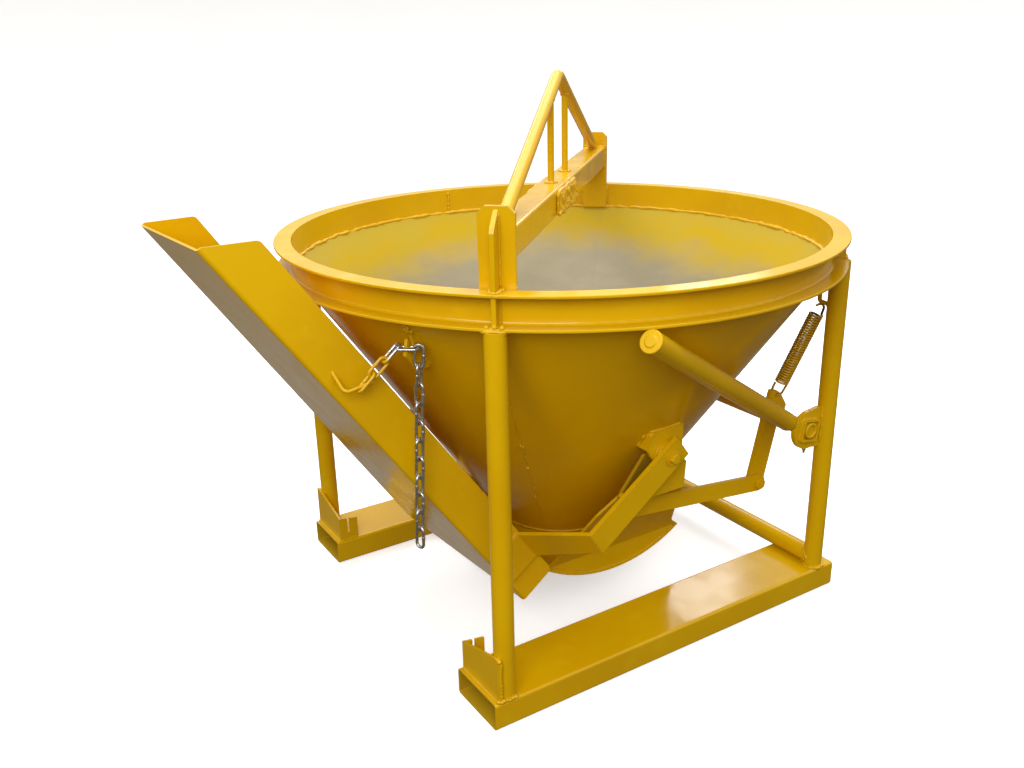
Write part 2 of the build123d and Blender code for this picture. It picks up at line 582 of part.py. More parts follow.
# handle: tube coped to the shaft, splayed outwards so that it clears the rim
h_from = Vector(hx(SHAFT_X), -461, SHAFT_Z - 6)
h_to = Vector(hx(HANDLE_END[0]), HANDLE_END[1], HANDLE_END[2])
h_dir = (h_to - h_from).normalized()
h_len = (h_to - h_from).length
with BuildPart() as handle_tube:
    with BuildSketch(Plane(origin=h_from + h_dir * HANDLE_FOOT, z_dir=h_dir)):
        Circle(HANDLE_D / 2)
        Circle(HANDLE_D / 2 - 3.2, mode=Mode.SUBTRACT)
    extrude(amount=h_len - HANDLE_FOOT)
    # closed foot of the tube and solid neck welded to the shaft
    with BuildSketch(Plane(origin=h_from + h_dir * HANDLE_FOOT, z_dir=h_dir)):
        Circle(HANDLE_D / 2)
    extrude(amount=8)
    with BuildSketch(Plane(origin=h_from, z_dir=h_dir)):
        Circle(12)
    extrude(amount=HANDLE_FOOT + 4)
    with BuildSketch(shaft_xz):
        Circle(SHAFT_R)
    extrude(amount=520, mode=Mode.SUBTRACT)
save(handle_tube.part, "handle_tube")

# end cap: pressed disc with a raised ring and a shallow dome
with BuildPart() as handle_cap:
    with BuildSketch(Plane(origin=h_to, z_dir=h_dir)):
        Circle(HANDLE_D / 2 + 0.6)
    extrude(amount=5)
    fillet(handle_cap.faces().sort_by(lambda f: (f.center() - h_to).dot(h_dir))[-1].edges(), 2.5)
    with BuildSketch(Plane(origin=h_to, z_dir=h_dir)):
        Circle(HANDLE_D / 2 - 3.25)
    extrude(amount=-8)
    with BuildSketch(Plane(origin=h_to + h_dir * 5, z_dir=h_dir)):
        Circle(14)
    extrude(amount=2.2, taper=50)
save(handle_cap.part, "handle_cap")

crank_dir = Vector(CRANK_X - SHAFT_X, CRANK_Z - SHAFT_Z, 0)
crank_len = crank_dir.length
crank_deg = degrees(atan2(crank_dir.Y, crank_dir.X))
# plate above the shaft that the spring pulls on, and its hole, measured from the shaft
SPRING_LUG = [(-24, 0), (-17, 47), (-9, 73), (10, 69), (26, 58), (51, 20), (46, 0)]
SPRING_HOLE = (12.0, 54.0)
with BuildPart() as bell_crank_near:
    with BuildSketch(Plane(origin=(hx(SHAFT_X), -CRANK_Y0, SHAFT_Z), x_dir=(1, 0, 0), z_dir=(0, -1, 0))):
        reach = (crank_len + 24) / 2 / crank_len
        with Locations(Location((crank_dir.X * reach, crank_dir.Y * reach, 0), (0, 0, crank_deg))):
            RectangleRounded(crank_len + 24, CRANK_W, 9)
        Circle(34)
        with BuildLine():
            Polyline(*SPRING_LUG, close=True)
        make_face()
        Circle(SHAFT_R + 0.02, mode=Mode.SUBTRACT)
        with Locations((crank_dir.X, crank_dir.Y)):
            Circle(PIN_R + RUN, mode=Mode.SUBTRACT)
        with Locations(SPRING_HOLE):
            Circle(5.5, mode=Mode.SUBTRACT)
    extrude(amount=CRANK_Y1 - CRANK_Y0)
save(bell_crank_near.part, "bell_crank_near")

with BuildPart() as bell_crank_far:
    mirror(bell_crank_near.part, about=Plane.XZ)
save(bell_crank_far.part, "bell_crank_far")

# links between bell cranks and gate; the eye at the gate end is large enough for the pin's small drift
link_vec = Vector(GPIN_X - CRANK_X, GPIN_Z - CRANK_Z, 0)
link_deg = degrees(atan2(link_vec.Y, link_vec.X))
with BuildPart() as link_near:
    with BuildSketch(Plane(origin=(hx(CRANK_X), -LINK_Y0, CRANK_Z), x_dir=(1, 0, 0), z_dir=(0, -1, 0))):
        with Locations(Location((link_vec.X / 2, link_vec.Y / 2, 0), (0, 0, link_deg))):
            SlotCenterToCenter(link_vec.length, LINK_W)
        Circle(PIN_R + RUN, mode=Mode.SUBTRACT)
        with Locations((link_vec.X, link_vec.Y)):
            Circle(PIN_R + PIN_SLOP, mode=Mode.SUBTRACT)
    extrude(amount=LINK_Y1 - LINK_Y0)
save(link_near.part, "link_near")

with BuildPart() as link_far:
    mirror(link_near.part, about=Plane.XZ)
save(link_far.part, "link_far")

# bolts through the bell cranks and links, nuts on the inside
with BuildPart() as crank_bolts:
    for side in (-1, 1):
        head = Plane(origin=(hx(CRANK_X), side * (LINK_Y1 + 1), CRANK_Z), x_dir=(1, 0, 0), z_dir=(0, side, 0))
        with BuildSketch(head):
            RegularPolygon(radius=15, side_count=6, rotation=20)
        extrude(amount=10)
        with BuildSketch(head):
            Circle(PIN_R)
        extrude(amount=-(LINK_Y1 + 1 - CRANK_Y0 + 15))
save(crank_bolts.part, "crank_bolts")

with BuildPart() as crank_nuts:
    for side in (-1, 1):
        with BuildSketch(Plane(origin=(hx(CRANK_X), side * (CRANK_Y0 - 0.4), CRANK_Z), x_dir=(1, 0, 0), z_dir=(0, -side, 0))):
            RegularPolygon(radius=15, side_count=6, rotation=10)
            Circle(PIN_R + 0.02, mode=Mode.SUBTRACT)
        extrude(amount=12)
save(crank_nuts.part, "crank_nuts")

# ---------------------------------------------------------------- return spring and its anchor
A_X, A_Y, A_Z = hx(490.0), -451.0, 808.0
with BuildPart() as spring_anchor:
    with BuildLine() as anchor_line:
        FilletPolyline((A_X, A_Y, RIM_Z0 - 1), (A_X, A_Y, A_Z), (hx(LEG_X), -LEG_Y, A_Z - 8), radius=8)
    with BuildSketch(Plane(origin=anchor_line.line @ 0, z_dir=anchor_line.line % 0)):
        Circle(5.5)
    sweep()
    with BuildSketch(Plane(origin=(hx(LEG_X), -LEG_Y, 700))):
        Circle(LEG_D / 2)
    extrude(amount=220, mode=Mode.SUBTRACT)
    with BuildSketch(axis_xz):
        with BuildLine():
            Polyline((0, CONE_BOTTOM_Z), (CONE_BOTTOM_R, CONE_BOTTOM_Z), (RIM_WEB_R, CONE_TOP_Z), (0, CONE_TOP_Z), close=True)
        make_face()
    revolve(axis=Axis((AX, 0, 0), (0, 0, 1)), mode=Mode.SUBTRACT)
save(spring_anchor.part, "spring_anchor")

lug = Vector(hx(SHAFT_X + SPRING_HOLE[0]), -(CRANK_Y0 + CRANK_Y1) / 2, SHAFT_Z + SPRING_HOLE[1])
sp_top = Vector(A_X + 1, A_Y - 6, A_Z - 7)
sp_dir = (lug - sp_top).normalized()
sp_len = (lug - sp_top).length
SPRING_OD, SPRING_WIRE, SPRING_BODY = 38.0, 7.0, 212.0
sp_gap = (sp_len - SPRING_BODY) / 2 - 4.5
with BuildPart() as return_spring:
    with BuildSketch(Plane(origin=sp_top + sp_dir * sp_gap, z_dir=sp_dir)):
        Circle(SPRING_OD / 2)
        Circle(SPRING_OD / 2 - SPRING_WIRE, mode=Mode.SUBTRACT)
    extrude(amount=SPRING_BODY)
    # end discs and drawn-out hooks
    for t0, t1, r in ((sp_gap, sp_gap + 5, SPRING_OD / 2), (sp_gap + SPRING_BODY - 5, sp_gap + SPRING_BODY, SPRING_OD / 2), (8, sp_gap + 2, 2.5), (sp_gap + SPRING_BODY - 2, sp_len - 20, 2.5)):
        with BuildSketch(Plane(origin=sp_top + sp_dir * t0, z_dir=sp_dir)):
            Circle(r)
        extrude(amount=t1 - t0)
save(return_spring.part, "return_spring")

# ---------------------------------------------------------------- chute
ch_dir = Vector(CH_DX, 0, CH_DZ).normalized()
ch_flat = Vector(CH_DZ, 0, -CH_DX).normalized()
# the trough hangs a little rolled, its far side lower
ch_nrm = ch_flat * cos(radians(CH_ROLL)) + Vector(0, 1, 0) * sin(radians(CH_ROLL))
ch_near = ch_nrm.cross(ch_dir)
ch_origin = Vector(hx(CH_X), 0, CH_Z) - ch_flat * CH_SINK
chute_plane = Plane(origin=ch_origin, x_dir=ch_dir, z_dir=ch_nrm)
TAPER = (CH_HALF_LOW - CH_HALF_TOP) / CH_L
ch_top = ch_origin + ch_dir * CH_L + ch_flat * CH_SINK
ch_cut = (ch_dir * ch_dir.Z + ch_nrm * ch_flat.Z).normalized()

# the trough's inside, longer than the trough at both ends
with BuildPart() as chute_void:
    with BuildSketch(chute_plane.offset(CH_T)):
        e, g = 60.0, CH_T * sqrt(1 + TAPER**2)
        with BuildLine():
            Polyline(
                (-e, CH_HALF_LOW + e * TAPER - g), (CH_L + 2 * e, CH_HALF_TOP - 2 * e * TAPER - g),
                (CH_L + 2 * e, -CH_HALF_TOP + 2 * e * TAPER + g), (-e, -CH_HALF_LOW - e * TAPER + g), close=True,
            )
        make_face()
    extrude(amount=CH_WALL + 20)
    low = chute_void.faces().sort_by(lambda f: f.center().dot(ch_nrm))[0]
    fillet(low.edges().sort_by(SortBy.LENGTH)[-2:], 4)

with BuildPart() as chute_trough:
    with BuildSketch(chute_plane):
        with BuildLine():
            Polyline((0, CH_HALF_LOW), (CH_L, CH_HALF_TOP), (CH_L, -CH_HALF_TOP), (0, -CH_HALF_LOW), close=True)
        make_face()
    extrude(amount=CH_WALL)
    under = chute_trough.faces().sort_by(lambda f: f.center().dot(ch_nrm))[0]
    fillet(under.edges().sort_by(SortBy.LENGTH)[-2:], 9)
    add(chute_void.part, mode=Mode.SUBTRACT)
    # discharge end cut level across the trough
    with BuildSketch(Plane(origin=ch_top, x_dir=ch_near, z_dir=ch_cut)):
        Rectangle(2000, 3000)
    extrude(amount=400, mode=Mode.SUBTRACT)
    corners = chute_trough.edges().filter_by(lambda k: k.length < 12 and abs((k @ 1 - k @ 0).Y) > 4 and (k.center() - ch_origin).dot(ch_nrm) > CH_WALL - 2)
    fillet(corners, 14)
save(chute_trough.part, "chute_trough")

# cranked arms: flat bar from the pivot bolt to an elbow, turned inwards to a pad on the trough's side
ARM_MID = (ARM_Y0 + ARM_Y1) / 2
PAD_T0, PAD_T1, PAD_T, PAD_HI = 70.0, 154.0, 8.0, CH_WALL - 5
E_IN, E_OUT = (-239.0, 375.0), (-203.0, 318.0)
a_vec = Vector((E_IN[0] + E_OUT[0]) / 2 - PIV_X, (E_IN[1] + E_OUT[1]) / 2 - PIV_Z, 0)
a_unit = a_vec.normalized()
a_side = Vector(-a_unit.Y, a_unit.X, 0) * (ARM_W / 2)
arm_outline = [
    (a_side.X - a_unit.X * ARM_END, a_side.Y - a_unit.Y * ARM_END), (-a_side.X - a_unit.X * ARM_END, -a_side.Y - a_unit.Y * ARM_END),
    (E_IN[0] - PIV_X, E_IN[1] - PIV_Z), (E_OUT[0] - PIV_X, E_OUT[1] - PIV_Z),
]


def side_plane(side):
    """Outer face of the trough's side wall: side -1 near, +1 far; local X along the trough."""
    out = ch_near * -side
    return Plane(
        origin=ch_origin + out * CH_HALF_LOW,
        x_dir=(ch_dir - out * TAPER).normalized(),
        z_dir=(out + ch_dir * TAPER).normalized(),
    )


def side_up(plane):
    """+1 if the plane's local Y points to the wall's top edge, -1 if not."""
    return 1 if plane.y_dir.dot(ch_nrm) > 0 else -1


wall_face = side_plane(-1)
wall_up = side_up(wall_face)
e_in, e_out = Vector(hx(E_IN[0]), -ARM_MID, E_IN[1]), Vector(hx(E_OUT[0]), -ARM_MID, E_OUT[1])
p3 = wall_face.from_local_coords(Vector(PAD_T0, wall_up * PAD_HI, PAD_T / 2))
p4 = wall_face.from_local_coords(Vector(PAD_T1, wall_up * PAD_HI, PAD_T / 2))
web_plane = Plane(origin=e_in, x_dir=(e_out - e_in).normalized(), z_dir=(e_out - e_in).cross(p4 - e_in).normalized())
with BuildPart() as chute_arm_near:
    with BuildSketch(Plane(origin=(hx(PIV_X), -ARM_Y0, PIV_Z), x_dir=(1, 0, 0), z_dir=(0, -1, 0))):
        with BuildLine():
            Polyline(*arm_outline, close=True)
        make_face()
    extrude(amount=ARM_Y1 - ARM_Y0)
    # turned-in web of the bar
    with BuildSketch(web_plane):
        q = [web_plane.to_local_coords(k) for k in (e_in, e_out, p3, p4)]
        with BuildLine():
            Polyline(*[(k.X, k.Y) for k in q], close=True)
        make_face()
    extrude(amount=5, both=True)
    with BuildSketch(Plane(origin=e_in, z_dir=e_out - e_in)):
        Circle(6)
    extrude(amount=(e_out - e_in).length)
    with BuildSketch(Plane(origin=p3, z_dir=p4 - p3)):
        Circle(4)
    extrude(amount=(p4 - p3).length)
    # pad on the trough's side
    with BuildSketch(wall_face):
        with BuildLine():
            Polyline((PAD_T0, wall_up * PAD_HI), (PAD_T1, wall_up * PAD_HI), (PAD_T1, wall_up * 12), (PAD_T0, wall_up * 12), close=True)
        make_face()
    extrude(amount=PAD_T)
    # trim what stands into the trough's side
    with BuildSketch(wall_face):
        Rectangle(900, 500)
    extrude(amount=-30, mode=Mode.SUBTRACT)
    with BuildSketch(pivot_xz):
        Circle(BOLT_R + RUN)
    extrude(amount=600, mode=Mode.SUBTRACT)
save(chute_arm_near.part, "chute_arm_near")

far_face = side_plane(1)
far_up = side_up(far_face)
g_in, g_out = Vector(hx(E_IN[0]), ARM_MID, E_IN[1]), Vector(hx(E_OUT[0]), ARM_MID, E_OUT[1])
g3 = far_face.from_local_coords(Vector(PAD_T0, far_up * PAD_HI, PAD_T / 2))
g4 = far_face.from_local_coords(Vector(PAD_T1, far_up * PAD_HI, PAD_T / 2))
far_web = Plane(origin=g_in, x_dir=(g_out - g_in).normalized(), z_dir=(g_out - g_in).cross(g4 - g_in).normalized())
with BuildPart() as chute_arm_far:
    with BuildSketch(Plane(origin=(hx(PIV_X), ARM_Y1, PIV_Z), x_dir=(1, 0, 0), z_dir=(0, -1, 0))):
        with BuildLine():
            Polyline(*arm_outline, close=True)
        make_face()
    extrude(amount=ARM_Y1 - ARM_Y0)
    with BuildSketch(far_web):
        q = [far_web.to_local_coords(k) for k in (g_in, g_out, g3, g4)]
        with BuildLine():
            Polyline(*[(k.X, k.Y) for k in q], close=True)
        make_face()
    extrude(amount=5, both=True)
    with BuildSketch(Plane(origin=g_in, z_dir=g_out - g_in)):
        Circle(6)
    extrude(amount=(g_out - g_in).length)
    with BuildSketch(Plane(origin=g3, z_dir=g4 - g3)):
        Circle(4)
    extrude(amount=(g4 - g3).length)
    with BuildSketch(far_face):
        with BuildLine():
            Polyline((PAD_T0, far_up * PAD_HI), (PAD_T1, far_up * PAD_HI), (PAD_T1, far_up * 12), (PAD_T0, far_up * 12), close=True)
        make_face()
    extrude(amount=PAD_T)
    with BuildSketch(far_face):
        Rectangle(900, 500)
    extrude(amount=-30, mode=Mode.SUBTRACT)
    with BuildSketch(Plane(origin=(hx(PIV_X), 0, PIV_Z), x_dir=(1, 0, 0), z_dir=(0, 1, 0))):
        Circle(BOLT_R + RUN)
    extrude(amount=600, mode=Mode.SUBTRACT)
save(chute_arm_far.part, "chute_arm_far")

# ---------------------------------------------------------------- chute chain
# J-shaped rod on the trough's side
rod_a, rod_b, rod_c = Vector(hx(-739), -222, 812), Vector(hx(-728), -266, 768), Vector(hx(-665), -266, 780)
with BuildPart() as chain_staple:
    with BuildLine() as rod_line:
        FilletPolyline(rod_a, rod_b, rod_c, radius=14)
    with BuildSketch(Plane(origin=rod_line.line @ 0, z_dir=rod_line.line % 0)):
        Circle(4)
    sweep()
    with BuildSketch(wall_face):
        with Locations((700, 0)):
            Rectangle(700, 600)
    extrude(amount=-40, mode=Mode.SUBTRACT)
save(chain_staple.part, "chain_staple")

# hook plate standing on the cone, notched so that a link drops over its horn
hook_c = Vector(-592.5, -291.6, 847.2)
hook_az = degrees(atan2(hook_c.Y, hook_c.X))
h_rad = Vector(cos(radians(hook_az)), sin(radians(hook_az)), 0)
hook_r = hypot(hook_c.X, hook_c.Y)
hook_plane = Plane(origin=(AX, 0, 0), x_dir=h_rad, z_dir=h_rad.cross(Vector(0, 0, 1)))
with BuildPart() as chain_hook:
    with BuildSketch(hook_plane):
        with BuildLine():
            Polyline(
                (560, 786), (hook_r - 30, 786), (hook_r + 9, 832), (hook_r + 9, 838), (hook_r + 4.5, 843),
                (hook_r + 4.5, 856), (hook_r, 868), (hook_r - 4.5, 862), (hook_r - 4.5, 842.5),
                (hook_r - 18, 842.5), (hook_r - 18, 856), (cone_r(886) - 3, 886), (560, 886), close=True,
            )
        make_face()
    extrude(amount=4, both=True)
    with BuildSketch(axis_xz):
        with BuildLine():
            Polyline((0, CONE_BOTTOM_Z), (CONE_BOTTOM_R, CONE_BOTTOM_Z), (RIM_WEB_R, CONE_TOP_Z), (0, CONE_TOP_Z), close=True)
        make_face()
    revolve(axis=Axis((AX, 0, 0), (0, 0, 1)), mode=Mode.SUBTRACT)
save(chain_hook.part, "chain_hook")

# links: stadium loops of round wire, each a quarter turn from the next
half_l, bend = (CHAIN_IN + CHAIN_D) / 2 - (CHAIN_OUT_W - CHAIN_D) / 2, (CHAIN_OUT_W - CHAIN_D) / 2
hook_w = Vector(hx(hook_c.X), hook_c.Y, hook_c.Z)
lie = Vector(0.8, -0.6, 0)
across = Vector(0.6, 0.8, 0)
end_w = half_l + bend
w1 = hook_w - lie * end_w
rod_at = Vector(hx(-686.8), -266, 775.84)

run_links = []
run_dir = (w1 - rod_at).normalized()
run_side = run_dir.cross(Vector(0, 0, 1)).normalized()
run_gap = ((w1 - rod_at).length - 9.7 - 12.2) / 2
for i in range(3):
    mid = rod_at + run_dir * (9.7 + run_gap * i)
    flat = run_side.cross(run_dir) if i % 2 else run_side
    run_links.append((mid, run_dir, flat))
run_links.append((hook_w, lie, across))

# tail hangs from the outer end of the link on the hook, leaning slightly
tail_dir = Vector(-0.040, 0.0255, -1).normalized()
TAIL_TURNS = (-42, 35, -65, 22, -70, 20, -70, 20, -70, 20, -70)
tail_flat = []
for turn in TAIL_TURNS:
    level = Vector(cos(radians(turn)), sin(radians(turn)), 0)
    tail_flat.append((level - tail_dir * level.dot(tail_dir)).normalized())
k2 = hook_w + lie * (end_w + 0.5)
tail_links = []
for i in range(len(TAIL_TURNS)):
    mid = k2 - tail_dir * (CHAIN_D / 2 - CHAIN_IN / 2 + 1.6 - CHAIN_PITCH * i)
    tail_links.append((mid, tail_dir, tail_flat[i]))

with BuildPart() as chain_run:
    for mid, along, flat in run_links:
        with BuildLine(Plane(origin=mid, x_dir=along, z_dir=along.cross(flat))) as loop:
            Line((-half_l, bend), (half_l, bend))
            CenterArc((half_l, 0), bend, 90, -180)
            Line((half_l, -bend), (-half_l, -bend))
            CenterArc((-half_l, 0), bend, 270, -180)
        with BuildSketch(Plane(origin=loop.line @ 0, z_dir=loop.line % 0)):
            Circle(CHAIN_D / 2)
        sweep()
save(chain_run.part, "chain_run")

with BuildPart() as chain_tail:
    for mid, along, flat in tail_links:
        with BuildLine(Plane(origin=mid, x_dir=along, z_dir=along.cross(flat))) as loop:
            Line((-half_l, bend), (half_l, bend))
            CenterArc((half_l, 0), bend, 90, -180)
            Line((half_l, -bend), (-half_l, -bend))
            CenterArc((-half_l, 0), bend, 270, -180)
        with BuildSketch(Plane(origin=loop.line @ 0, z_dir=loop.line % 0)):
            Circle(CHAIN_D / 2)
        sweep()
save(chain_tail.part, "chain_tail")

print("staple contact", rod_at, "hook end", k2, "run gap", run_gap, "spring", sp_top, lug, "length", sp_len)
print("handle", h_from, h_to, h_len, "crank", crank_len, "link", link_vec.length, "arm", a_vec.length)
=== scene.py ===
import math
from math import atan2, cos, degrees, hypot, pi, radians, sin, sqrt

import bpy
import numpy as np
from mathutils import Matrix, Vector, noise


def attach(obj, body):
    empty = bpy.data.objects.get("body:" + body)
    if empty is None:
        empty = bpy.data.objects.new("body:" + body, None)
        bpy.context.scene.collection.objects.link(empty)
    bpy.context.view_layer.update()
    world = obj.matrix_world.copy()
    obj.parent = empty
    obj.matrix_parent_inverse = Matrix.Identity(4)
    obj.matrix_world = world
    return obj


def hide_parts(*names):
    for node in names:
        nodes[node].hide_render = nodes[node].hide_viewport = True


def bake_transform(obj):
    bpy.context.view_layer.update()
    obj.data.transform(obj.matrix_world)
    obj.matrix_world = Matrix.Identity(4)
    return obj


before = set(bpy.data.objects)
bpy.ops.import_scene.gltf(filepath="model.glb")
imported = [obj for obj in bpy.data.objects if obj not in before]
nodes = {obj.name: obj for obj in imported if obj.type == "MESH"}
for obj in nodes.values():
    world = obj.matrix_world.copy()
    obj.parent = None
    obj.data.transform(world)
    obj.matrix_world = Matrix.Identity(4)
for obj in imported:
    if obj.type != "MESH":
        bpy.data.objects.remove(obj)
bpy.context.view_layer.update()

scene = bpy.context.scene

# ---------------------------------------------------------------- geometry of the bucket, millimetres unless said
AX = 133.9
LEG_X, LEG_Y, LEG_R = 500.0, 498.0, 24.15
RIM_WEB_R, RIM_R, RIM_Z0, RIM_Z1, FLANGE = 678.0, 720.0, 920.0, 995.0, 7.0
CONE_TOP, CONE_LOW, CONE_LOW_R, CONE_WALL = 922.7, 200.0, 181.0, 4.85
PIV_X, PIV_Z = 0.0, 508.0
SHAFT_X, SHAFT_Z, SHAFT_R = 432.0, 485.0, 21.2
DIAG = atan2(LEG_Y, LEG_X)
CONE_SEAM = 223.0
RIM_JOINT = 85.9


def P(x, y, z):
    """Point from millimetres measured at the hopper's axis, in metres of the row frame."""
    return Vector(((AX + x) / 1000, y / 1000, z / 1000))


def polar(r, deg, z):
    return P(r * cos(radians(deg)), r * sin(radians(deg)), z)


def D(s, t, z):
    """Point on the lifting beam's diagonal: s along it, t across it."""
    return P(s * cos(DIAG) - t * sin(DIAG), s * sin(DIAG) + t * cos(DIAG), z)


def cone_r(z):
    return CONE_LOW_R + (RIM_WEB_R - CONE_LOW_R) * (z - CONE_LOW) / (CONE_TOP - CONE_LOW)


def cone_y(x, z):
    """Half width of the cone at x and height z."""
    return sqrt(max(cone_r(z) ** 2 - x * x, 0))


# ---------------------------------------------------------------- node materials
class Graph:
    """A material's node tree, with short calls for the nodes used here."""

    def __init__(self, name):
        self.mat = bpy.data.materials.new(name)
        self.mat.use_nodes = True
        self.tree = self.mat.node_tree
        self.tree.nodes.clear()
        self.out = self.tree.nodes.new("ShaderNodeOutputMaterial")
        self.bsdf = self.tree.nodes.new("ShaderNodeBsdfPrincipled")
        self.tree.links.new(self.bsdf.outputs[0], self.out.inputs[0])
        self.co = self.tree.nodes.new("ShaderNodeTexCoord").outputs["Object"]

    def put(self, socket, value):
        if isinstance(value, bpy.types.NodeSocket):
            self.tree.links.new(value, socket)
        elif hasattr(value, "__len__") and len(value) == 3 and socket.type == "RGBA":
            socket.default_value = (*value, 1)
        else:
            socket.default_value = value

    def set(self, **values):
        for key, value in values.items():
            self.put(self.bsdf.inputs[key.replace("_", " ").title().replace("Ior", "IOR")], value)
        return self.mat

    def noise(self, scale, detail=3.0, rough=0.5, vec=None, distort=0.0):
        n = self.tree.nodes.new("ShaderNodeTexNoise")
        n.noise_dimensions = "3D"
        self.put(n.inputs["Vector"], vec or self.co)
        n.inputs["Scale"].default_value = scale
        n.inputs["Detail"].default_value = detail
        n.inputs["Roughness"].default_value = rough
        n.inputs["Distortion"].default_value = distort
        return n.outputs[0]

    def cells(self, scale, vec=None):
        n = self.tree.nodes.new("ShaderNodeTexVoronoi")
        self.put(n.inputs["Vector"], vec or self.co)
        n.inputs["Scale"].default_value = scale
        return n.outputs["Distance"]

    def math(self, op, a, b=0.0, clamp=False):
        n = self.tree.nodes.new("ShaderNodeMath")
        n.operation = op
        n.use_clamp = clamp
        self.put(n.inputs[0], a)
        self.put(n.inputs[1], b)
        return n.outputs[0]

    def vec(self, op, a, b):
        n = self.tree.nodes.new("ShaderNodeVectorMath")
        n.operation = op
        self.put(n.inputs[0], a)
        self.put(n.inputs[1], b)
        return n.outputs["Value"] if op in ("DOT_PRODUCT", "LENGTH", "DISTANCE") else n.outputs[0]

    def split(self, v):
        n = self.tree.nodes.new("ShaderNodeSeparateXYZ")
        self.put(n.inputs[0], v)
        return n.outputs[0], n.outputs[1], n.outputs[2]

    def ramp(self, fac, a, b, lo=0.0, hi=1.0):
        n = self.tree.nodes.new("ShaderNodeMapRange")
        n.clamp = True
        n.interpolation_type = "SMOOTHSTEP"
        self.put(n.inputs["Value"], fac)
        n.inputs["From Min"].default_value = a
        n.inputs["From Max"].default_value = b
        n.inputs["To Min"].default_value = lo
        n.inputs["To Max"].default_value = hi
        return n.outputs[0]

    def mix(self, fac, a, b):
        n = self.tree.nodes.new("ShaderNodeMix")
        n.data_type = "RGBA"
        self.put(n.inputs[0], fac)
        self.put(n.inputs[6], a)
        self.put(n.inputs[7], b)
        return n.outputs[2]

    def lerp(self, fac, a, b):
        n = self.tree.nodes.new("ShaderNodeMix")
        n.data_type = "FLOAT"
        self.put(n.inputs[0], fac)
        self.put(n.inputs[2], a)
        self.put(n.inputs[3], b)
        return n.outputs[0]

    def normal(self):
        return self.tree.nodes.new("ShaderNodeNewGeometry").outputs["Normal"]

    def soft_edge(self, radius):
        n = self.tree.nodes.new("ShaderNodeBevel")
        n.samples = 4
        n.inputs["Radius"].default_value = radius
        return n.outputs[0]

    def bump(self, height, strength, distance, normal=None):
        n = self.tree.nodes.new("ShaderNodeBump")
        self.put(n.inputs["Height"], height)
        n.inputs["Strength"].default_value = strength
        n.inputs["Distance"].default_value = distance
        if normal is not None:
            self.put(n.inputs["Normal"], normal)
        return n.outputs[0]


YELLOW = (0.712, 0.420, 0.0010)
YELLOW_DEEP = (0.645, 0.360, 0.0008)
YELLOW_PALE = (0.745, 0.475, 0.0025)
STEEL = (0.335, 0.300, 0.205)
SHINE = 0.34


def paint_layers(g, rough=0.17, peel=1.0):
    """Brushed-on gloss enamel: colour, roughness and height of its orange peel."""
    big = g.noise(2.2, 3, 0.55)
    mid = g.noise(13.0, 4, 0.6)
    fine = g.noise(230.0, 2, 0.5)
    grit = g.noise(900.0, 2, 0.6)
    colour = g.mix(g.ramp(big, 0.32, 0.70), YELLOW_DEEP, YELLOW)
    colour = g.mix(g.ramp(mid, 0.52, 0.80, 0, 0.45), colour, YELLOW_PALE)
    colour = g.mix(g.ramp(grit, 0.66, 0.80, 0, 0.30), colour, YELLOW_DEEP)
    roughness = g.lerp(g.ramp(mid, 0.30, 0.72), rough - 0.045, rough + 0.075)
    height = g.math("ADD", g.math("MULTIPLY", fine, 0.35 * peel), g.math("MULTIPLY", g.noise(38.0, 2, 0.5), 1.6 * peel))
    return colour, roughness, height


def paint(name, rough=0.17, peel=1.0, edge=0.0014):
    g = Graph(name)
    colour, roughness, height = paint_layers(g, rough, peel)
    normal = g.bump(height, 0.16, 0.0006, g.soft_edge(edge) if edge else None)
    return g.set(base_color=colour, roughness=roughness, normal=normal, ior=1.5, specular_ior_level=SHINE)


paint_sheet = paint("yellow_enamel_sheet")
paint_tube = paint("yellow_enamel_tube", 0.19, 0.8, 0.0010)
paint_bar = paint("yellow_enamel_bar", 0.18, 1.1, 0.0016)
paint_small = paint("yellow_enamel_fittings", 0.23, 1.2, 0.0010)


def weld_paint():
    g = Graph("yellow_enamel_weld")
    colour, roughness, height = paint_layers(g, 0.24, 1.0)
    pits = g.cells(420.0)
    colour = g.mix(g.ramp(pits, 0.10, 0.02, 0, 0.6), colour, (0.36, 0.17, 0.004))
    height = g.math("ADD", height, g.math("MULTIPLY", g.noise(520.0, 3, 0.6), 1.5))
    return g.set(base_color=colour, roughness=roughness, normal=g.bump(height, 0.35, 0.0007), ior=1.5, specular_ior_level=0.45)


paint_weld = weld_paint()


